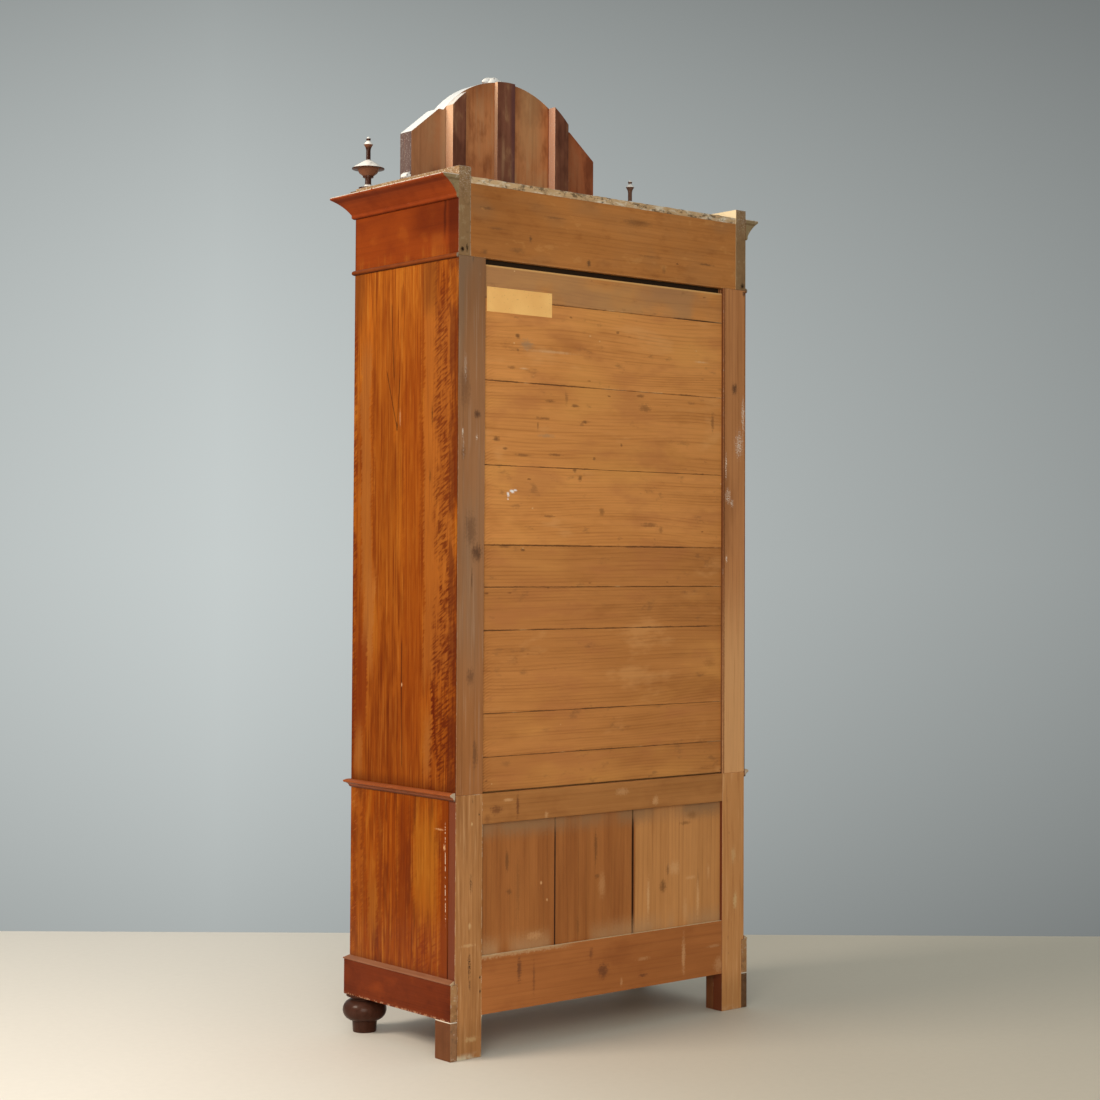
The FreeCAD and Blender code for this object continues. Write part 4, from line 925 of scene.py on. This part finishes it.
def dress_all():
    """Gives the CAD nodes their finishes."""
    for names, material in (
            ("upper_posts", upper_post_wood()),
            ("base_posts", base_post_wood()),
            ("upper_back_boards", back_board_wood()),
            ("base_back_boards", base_board_wood()),
            ("base_back_top_rail", base_top_rail_wood()),
            ("base_back_bottom_rail", base_low_rail_wood()),
            ("hat_back", frieze_back_wood()),
            ("hat_sides", frieze_side_wood()),
            ("upper_veneers", upper_side_veneer()),
            ("base_veneers", base_side_veneer()),
            ("cornice_moulding", cornice_wood()),
            ("crest_base", moulding_wood("crest shelf wood", 0, "7a6450", "8a7864", 4).shine()),
            ("frieze_bead", bead_wood()),
            ("waist_moulding", waist_wood()),
            ("plinth_boards", plinth_wood()),
            ("plinth_moulding", moulding_wood("plinth cap walnut", 1, "85563c", "b09474", 8).shine()),
            ("leg_packing", packing_wood()),
            ("crest_panel crest_frame", crest_panel_wood()),
            ("crest_battens", batten_wood()),
            ("base_stiles upper_stiles door_stiles", front_walnut("front walnut upright", 2, 0.5)),
            ("drawer_rails door_frame_rails door_bottom_rail door_top_rail hat_front lower_drawer_front "
             "upper_drawer_front", front_walnut("front walnut level", 0, 2.5)),
            ("door_sight_bead", dark_turned_wood("sight bead walnut").shine()),
            ("base_sides upper_sides hanging_rail", inside_timber("inside wood upright", 2)),
            ("case_floor case_top hat_shelf rail_sockets door_backing lower_drawer_bottom "
             "upper_drawer_bottom", inside_timber("inside wood level", 0, 3)),
            ("drawer_runners shelf_cleats lower_drawer_box upper_drawer_box",
             inside_timber("inside wood deep", 1, 6)),
            ("door_mirror", mirror_silver()),
            ("hinge_pins hinge_sockets key_escutcheon lock_keep",
             aged_metal("aged brass", "b08a4a", "6e5228", 0.3)),
            ("lock_case lock_bolt door_key", aged_metal("lock iron", "6a655f", "3a3430", 0.4))):
        for name in names.split():
            nodes[name].material_slots[0].material = material


# Pieces
def shared_piece(name, material, body="carcass", replaced=()):
    """Finishes the active object as a piece: its name, material and body, and hides the CAD nodes that it
    stands for.
    """
    piece = bpy.context.object
    piece.name = name
    piece.data.materials.clear()
    piece.data.materials.append(material)
    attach(piece, body)
    if replaced:
        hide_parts(*replaced)
    return piece


def apply_place():
    """Leaves the object at the origin, unturned and unscaled, with its place in its mesh."""
    bpy.ops.object.transform_apply(location=True, rotation=True, scale=True)


def smooth(angle):
    """Smooth faces, except over edges that are sharper than the angle."""
    bpy.ops.object.shade_smooth_by_angle(angle=radians(angle))


def edit_whole():
    """Opens the active object's mesh with all of it selected."""
    bpy.ops.object.mode_set(mode="EDIT")
    bpy.ops.mesh.select_all(action="SELECT")


def turn_outwards():
    """Points the faces of the mesh in edit mode outwards, and closes it."""
    bpy.ops.mesh.select_all(action="SELECT")
    bpy.ops.mesh.normals_make_consistent(inside=False)
    bpy.ops.object.mode_set(mode="OBJECT")


def joined_into(main, others):
    for piece in (main, *others):
        piece.select_set(True)
    bpy.context.view_layer.objects.active = main
    bpy.ops.object.join()
    return main


def box_piece(low, high):
    bpy.ops.mesh.primitive_cube_add(size=1, location=(low + high) / 2, scale=high - low)
    apply_place()


def use_modifier(kind, **settings):
    """Adds a modifier to the active object, sets it and applies it."""
    made = bpy.context.object.modifiers.new("shaping", kind)
    for setting, value in settings.items():
        setattr(made, setting, value)
    bpy.ops.object.modifier_apply(modifier=made.name)


def circle_through(first, middle, last):
    """The centre and radius of the circle through three points of a profile."""
    (ax, ay), (bx, by), (cx, cy) = first, middle, last
    twice = 2 * (ax * (by - cy) + bx * (cy - ay) + cx * (ay - by))
    a, b, c = ax * ax + ay * ay, bx * bx + by * by, cx * cx + cy * cy
    centre_x = (a * (by - cy) + b * (cy - ay) + c * (ay - by)) / twice
    centre_y = (a * (cx - bx) + b * (ax - cx) + c * (bx - ax)) / twice
    return centre_x, centre_y, ((ax - centre_x) ** 2 + (ay - centre_y) ** 2) ** 0.5


def arc_points(first, middle, last, steps=10):
    centre_x, centre_y, radius = circle_through(first, middle, last)
    start, through, end = (atan2(y - centre_y, x - centre_x) for x, y in (first, middle, last))
    sweep = (end - start) % (2 * pi)
    if (through - start) % (2 * pi) > sweep:
        sweep -= 2 * pi
    turns = [start + sweep * step / steps for step in range(steps + 1)]
    return [(centre_x + radius * cos(turn), centre_y + radius * sin(turn)) for turn in turns]


def turned_profile(shares, radius, height):
    """The stations of a turned piece in metres: each run is two points, or three for an arc."""
    stations = []
    for run in shares:
        points = [(across * radius, up * height) for across, up in run]
        if len(points) == 3:
            points = arc_points(*points)
        stations += [point for point in points if not stations or point != stations[-1]]
    return [point for point in stations if point[0] > 0]


def spun(stations, top=None):
    """Turns a piece on the Z axis: a circle carried from station to station, rounded at its edges."""
    (radius, height), others = stations[0], stations[1:]
    bpy.ops.mesh.primitive_circle_add(vertices=72, radius=radius, location=(0, 0, height),
                                      fill_type="NGON")
    apply_place()
    edit_whole()
    for next_radius, next_height in others:
        bpy.ops.mesh.extrude_region_move(TRANSFORM_OT_translate={"value": (0, 0, next_height - height)})
        share = next_radius / radius
        bpy.ops.transform.resize(value=(share, share, 1), center_override=(0, 0, next_height))
        radius, height = next_radius, next_height
    if top is not None:
        bpy.ops.mesh.extrude_region_move(TRANSFORM_OT_translate={"value": (0, 0, top - height)})
        bpy.ops.mesh.merge(type="CENTER")
    turn_outwards()
    use_modifier("BEVEL", width=0.8 * mm, segments=2, limit_method="ANGLE", angle_limit=radians(32))
    return bpy.context.object


def copied_to(piece, places, turn=(0, 0, 0)):
    """Sets copies of a piece, each with its own mesh, at several places and takes the first one away."""
    copies = []
    for place in places:
        copy = piece.copy()
        copy.data = piece.data.copy()
        bpy.context.collection.objects.link(copy)
        take(copy)
        copy.rotation_euler = turn
        copy.location = place
        apply_place()
        smooth(40)
        copies.append(copy)
    bpy.data.objects.remove(piece)
    return copies


def take(piece):
    """Makes a piece the active object and the only one selected."""
    bpy.ops.object.select_all(action="DESELECT")
    piece.select_set(True)
    bpy.context.view_layer.objects.active = piece


def turned_pair(node, name, shares, wood, closed=False):
    """Two turned pieces that stand for a CAD node, one at each side."""
    low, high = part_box(node)
    radius = (high.y - low.y) / 2
    height = high.z - low.z
    turned = spun(turned_profile(shares, radius, height), height if closed else None)
    places = [(side * (high.x - radius), (high.y + low.y) / 2, low.z) for side in (-1, 1)]
    for side, copy in zip(("left", "right"), copied_to(turned, places)):
        take(copy)
        shared_piece(f"{name}_{side}", wood, replaced=[node])


def drawer_knobs():
    wood = dark_turned_wood("knob walnut").shine()
    for drawer in ("lower_drawer", "upper_drawer"):
        low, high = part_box(drawer + "_knobs")
        radius = (high.z - low.z) / 2
        stations = turned_profile(knob_shares, radius, front_y - low.y)
        knob = spun([(knob_spigot, front_y - high.y), (knob_spigot, 0)] + stations)
        places = [(side * (high.x - radius), front_y, (high.z + low.z) / 2) for side in (-1, 1)]
        for side, copy in zip(("left", "right"), copied_to(knob, places, (radians(90), 0, 0))):
            take(copy)
            shared_piece(f"{drawer}_knob_{side}", wood, drawer, [drawer + "_knobs"])


def worn_top():
    """The cornice box's top board, its rough edge nibbled and swollen with age."""
    low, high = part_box("hat_top")
    box_piece(low, high - Vector((0, rough_edge_bite, 0)))
    edit_whole()
    bpy.ops.mesh.subdivide(number_cuts=70)
    bpy.ops.object.mode_set(mode="OBJECT")
    bumps = bpy.data.textures.new("rough edge", "CLOUDS")
    bumps.noise_scale = 0.02
    bumps.noise_depth = 3
    use_modifier(
        "DISPLACE", texture=bumps, strength=rough_edge_swell, mid_level=0.62, texture_coords="LOCAL")
    smooth(50)
    shared_piece("worn_top", dusty_top_wood(), replaced=["hat_top"])


def leaf(length, width, depth):
    """One carved leaf with its root at the origin: a swollen body, a middle rib and two veins."""
    parts = [(width, depth, length, 0, 0, 0), (width * 0.16, depth * 1.3, length * 0.86, 0, 0, 0)]
    for side in (-1, 1):
        parts.append((width * 0.1, depth * 1.14, length * 0.7, side * width * 0.2, side * 10, 2 * mm))
    made = []
    for wide, deep, long, aside, lean, rise in parts:
        rounded(40, 28, (aside, 0, length / 2 + rise), (wide, deep, long), lean)
        made.append(bpy.context.object)
    return joined_into(made[0], made[1:])


def rounded(segments, rings, place, size, lean=0):
    """A swelling of a carving, leant to one side by an angle."""
    bpy.ops.mesh.primitive_uv_sphere_add(segments=segments, ring_count=rings, radius=0.5, scale=size,
                                         location=place, rotation=(0, radians(lean), 0))
    apply_place()


def palmette(wood):
    """The carved fan before the crown: five leaves round a boss, the middle one rolled over at its tip."""
    root_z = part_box("crest_ornament")[1].z - petal_length
    face_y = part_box("crest_frame")[0].y
    made = []
    for turn in petal_turns:
        length = petal_length * (1 - petal_fall_share * abs(turn / petal_turns[0]))
        petal = leaf(length, petal_width, palmette_depth * 1.5)
        petal.rotation_euler = (0, radians(turn), 0)
        petal.location = (0, face_y, root_z)
        apply_place()
        made.append(petal)
    rounded(40, 24, (0, face_y, root_z), (2 * boss_radius, 2 * palmette_depth, 2 * boss_radius))
    made.append(bpy.context.object)
    tip_place = (0, face_y - palmette_depth * 0.4, root_z + petal_length - tip_height / 2)
    rounded(40, 24, tip_place, (tip_width, palmette_depth * 1.2, tip_height))
    joined_into(bpy.context.object, made)
    smooth(60)
    shared_piece("palmette", wood, replaced=["crest_ornament"])


def scroll_foot(name, side, wood):
    """A hollow sweep at the crest's end that rises to a round eye."""
    low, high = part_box("crest_ornament")
    frame_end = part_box("crest_panel")[1].x
    y_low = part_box("crest_frame")[1].y
    y_high = y_low + scroll_thickness
    eye_z = low.z + scroll_height - scroll_eye
    box_piece(Vector((frame_end, y_low, low.z)), Vector((high.x, y_high, eye_z)))
    foot = bpy.context.object
    swept_x = frame_end + scroll_reach * scroll_sweep_share
    swept_z = low.z + scroll_height * scroll_sweep_share
    ends = (high.x, low.z + scroll_eye / 2), (frame_end + scroll_eye / 2, eye_z)
    centre_x, centre_z, radius = circle_through(ends[0], (swept_x, swept_z), ends[1])
    level_cylinder(96, radius, 3 * scroll_thickness, (centre_x, y_low, centre_z))
    hollow = bpy.context.object
    take(foot)
    use_modifier("BOOLEAN", operation="DIFFERENCE", object=hollow)
    bpy.data.objects.remove(hollow)
    use_modifier("BEVEL", width=2.5 * mm, segments=3, **edge_rounding)
    eye_place = (frame_end, (y_low + y_high) / 2, eye_z)
    for share, proud in ((1, 0), (0.45, 4 * mm)):
        level_cylinder(48, scroll_eye * share, scroll_thickness + proud, eye_place)
        use_modifier("BEVEL", width=1.5 * mm, segments=3, **edge_rounding)
        joined_into(foot, [bpy.context.object])
    if side < 0:
        foot.scale = (-1, 1, 1)
        apply_place()
        edit_whole()
        turn_outwards()
    smooth(40)
    shared_piece(name, wood, replaced=["crest_ornament"])


def level_cylinder(vertices, radius, depth, place):
    """A cylinder that lies along Y."""
    bpy.ops.mesh.primitive_cylinder_add(vertices=vertices, radius=radius, depth=depth, location=place,
                                        rotation=(radians(90), 0, 0))


def splinter():
    """A pale splinter that stands off the left rear leg's inner edge."""
    place = (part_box("base_posts")[1].x - splinter_inset, back_y - 4 * mm, splinter_z)
    bpy.ops.mesh.primitive_cone_add(vertices=7, radius1=5 * mm, depth=splinter_length, location=place,
                                    rotation=(0, splinter_lean, 0), scale=(1, 0.4, 1))
    apply_place()
    smooth(30)
    shared_piece("splinter", rail_wood("splinter wood", "e2d3ba", 1).done())


def pale_slip():
    """The blank slip on the top back boards."""
    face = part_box("upper_back_boards")[1].y
    (left, bottom), (right, top) = slip_corners
    box_piece(Vector((left, face, bottom)), Vector((right, face + 0.6 * mm, top)))
    paper = Finish("pale slip", Roughness=0.7)
    cloud = paper.noise(paper.place, 9, 3)
    specks = paper.noise(paper.place, 260, 2).rise(0.68, 0.74)
    colour = paper.mix(cloud.rise(0.3, 0.7), tone("fcc676"), tone("f0b466"))
    paper.feed("Base Color", paper.mix(specks * 0.5, colour, tone("9a6a30")))
    paper.feed("Roughness", 0.6 + cloud * 0.2)
    shared_piece("pale_slip", paper.material)


# Stage
def photograph_camera():
    data = bpy.data.cameras.new("photograph camera")
    data.lens = camera_lens
    data.sensor_width = camera_sensor
    data.shift_x, data.shift_y = camera_shift
    camera = bpy.data.objects.new("photograph camera", data)
    bpy.context.collection.objects.link(camera)
    ahead = view_ahead * cos(camera_pitch) + Vector((0, 0, sin(camera_pitch)))
    level = ahead.cross(Vector((0, 0, 1))).normalized()
    upright = level.cross(ahead)
    right = level * cos(camera_roll) + upright * sin(camera_roll)
    up = upright * cos(camera_roll) - level * sin(camera_roll)
    turned = Matrix((right, up, -ahead)).transposed().to_4x4()
    camera.matrix_world = Matrix.Translation(camera_place) @ turned
    bpy.context.scene.camera = camera


def studio_floor():
    middle = camera_place + view_ahead * (floor_far_edge - floor_half)
    bpy.ops.mesh.primitive_plane_add(size=2 * floor_half, location=(middle.x, middle.y, 0),
                                     rotation=(0, 0, atan2(view_ahead.y, view_ahead.x)))
    floor = bpy.context.object
    floor.name = "studio_floor"
    apply_place()
    plaster = Finish("studio floor", Roughness=0.6)
    cloud = plaster.noise(plaster.place, 1.3, 4, 0.6)
    grain = plaster.noise(plaster.place, 45, 3)
    sideways = plaster.x * view_left.x + plaster.y * view_left.y
    towards = plaster.x * -view_ahead.x - plaster.y * view_ahead.y
    # Painted light and shade: the floor is lighter on the left, where the key lamp falls, and darker towards
    # the front and right as a painted shadow
    lit = sideways.rise(-0.9, 1.3)
    colour = plaster.mix(lit, tone("c3b9a7"), tone("e2dace"))
    colour = plaster.mix(towards.rise(0.8, 2.4) * (0.9 - lit * 0.6), colour, tone("b4a897"))
    plaster.feed("Base Color", plaster.tinted(colour, 0.97 + grain * 0.06))
    plaster.feed("Roughness", 0.5 + cloud * 0.2)
    floor.data.materials.append(plaster.material)


def studio_world():
    """A blue-grey wall behind the wardrobe, lightest on the left, darker above and below, and a soft room."""
    world = bpy.data.worlds.new("studio")
    world.use_nodes = True
    bpy.context.scene.world = world
    wall = Shading(world.node_tree)
    back = wall.tree.nodes["Background"]
    way = wall.node("ShaderNodeTexCoord", output="Generated")
    settings = {"operation": "DOT_PRODUCT"}
    left = wall.node("ShaderNodeVectorMath", settings, (way, view_left), 1)
    ahead = wall.node("ShaderNodeVectorMath", settings, (way, view_ahead), 1)
    height = wall.parts(way)[2]
    across = 0.61 - (left - 0.16).size() * 0.68
    below = (height * -1).most(0) * (0.6 + (0.16 - left).most(0) * 1.3)
    wall_light = (across * (1 - height.power(2) * 6 - below)).most(0.16)
    room_light = 0.2 + height.rise(-0.1, 0.9) * 0.4
    behind = ahead.rise(0.8, 0.92)
    light = wall_light * behind + room_light * (1 - behind)
    colour = wall.mix(light, (0, 0, 0, 1), (0.93, 1, 0.99, 1))
    wall.tree.links.new(colour.socket, back.inputs["Color"])
    back.inputs["Strength"].default_value = 1


def studio_lights():
    for name, place, size, power, colour in lamps:
        data = bpy.data.lights.new(name, "AREA")
        data.size = size
        data.energy = power
        data.color = tone(colour)[:3]
        lamp = bpy.data.objects.new(name, data)
        bpy.context.collection.objects.link(lamp)
        lamp.visible_glossy = name != "front"
        lamp.location = place
        lamp.rotation_euler = (lamp_target - place).to_track_quat("-Z", "Y").to_euler()


bpy.ops.object.select_all(action="DESELECT")
bpy.context.scene.view_settings.view_transform = "Standard"
dress_all()
soften("upper_posts base_posts leg_packing plinth_boards base_back_top_rail base_back_bottom_rail hat_back "
       "hat_sides hat_front base_stiles drawer_rails crest_battens", 1.5 * mm)
soften("upper_back_boards base_back_boards upper_veneers base_veneers plinth_moulding crest_panel "
       "crest_frame door_stiles door_top_rail door_bottom_rail upper_stiles lower_drawer_front "
       "upper_drawer_front", 0.6 * mm)
turned_pair("bun_feet", "bun_foot", foot_shares, dark_turned_wood("bun foot walnut").shine())
turned_pair("finials", "finial", finial_shares, finial_wood(), closed=True)
drawer_knobs()
worn_top()
carving_wood = carved_wood()
palmette(carving_wood)
scroll_foot("scroll_right", 1, carving_wood)
scroll_foot("scroll_left", -1, carving_wood)
splinter()
pale_slip()
photograph_camera()
studio_floor()
studio_world()
studio_lights()
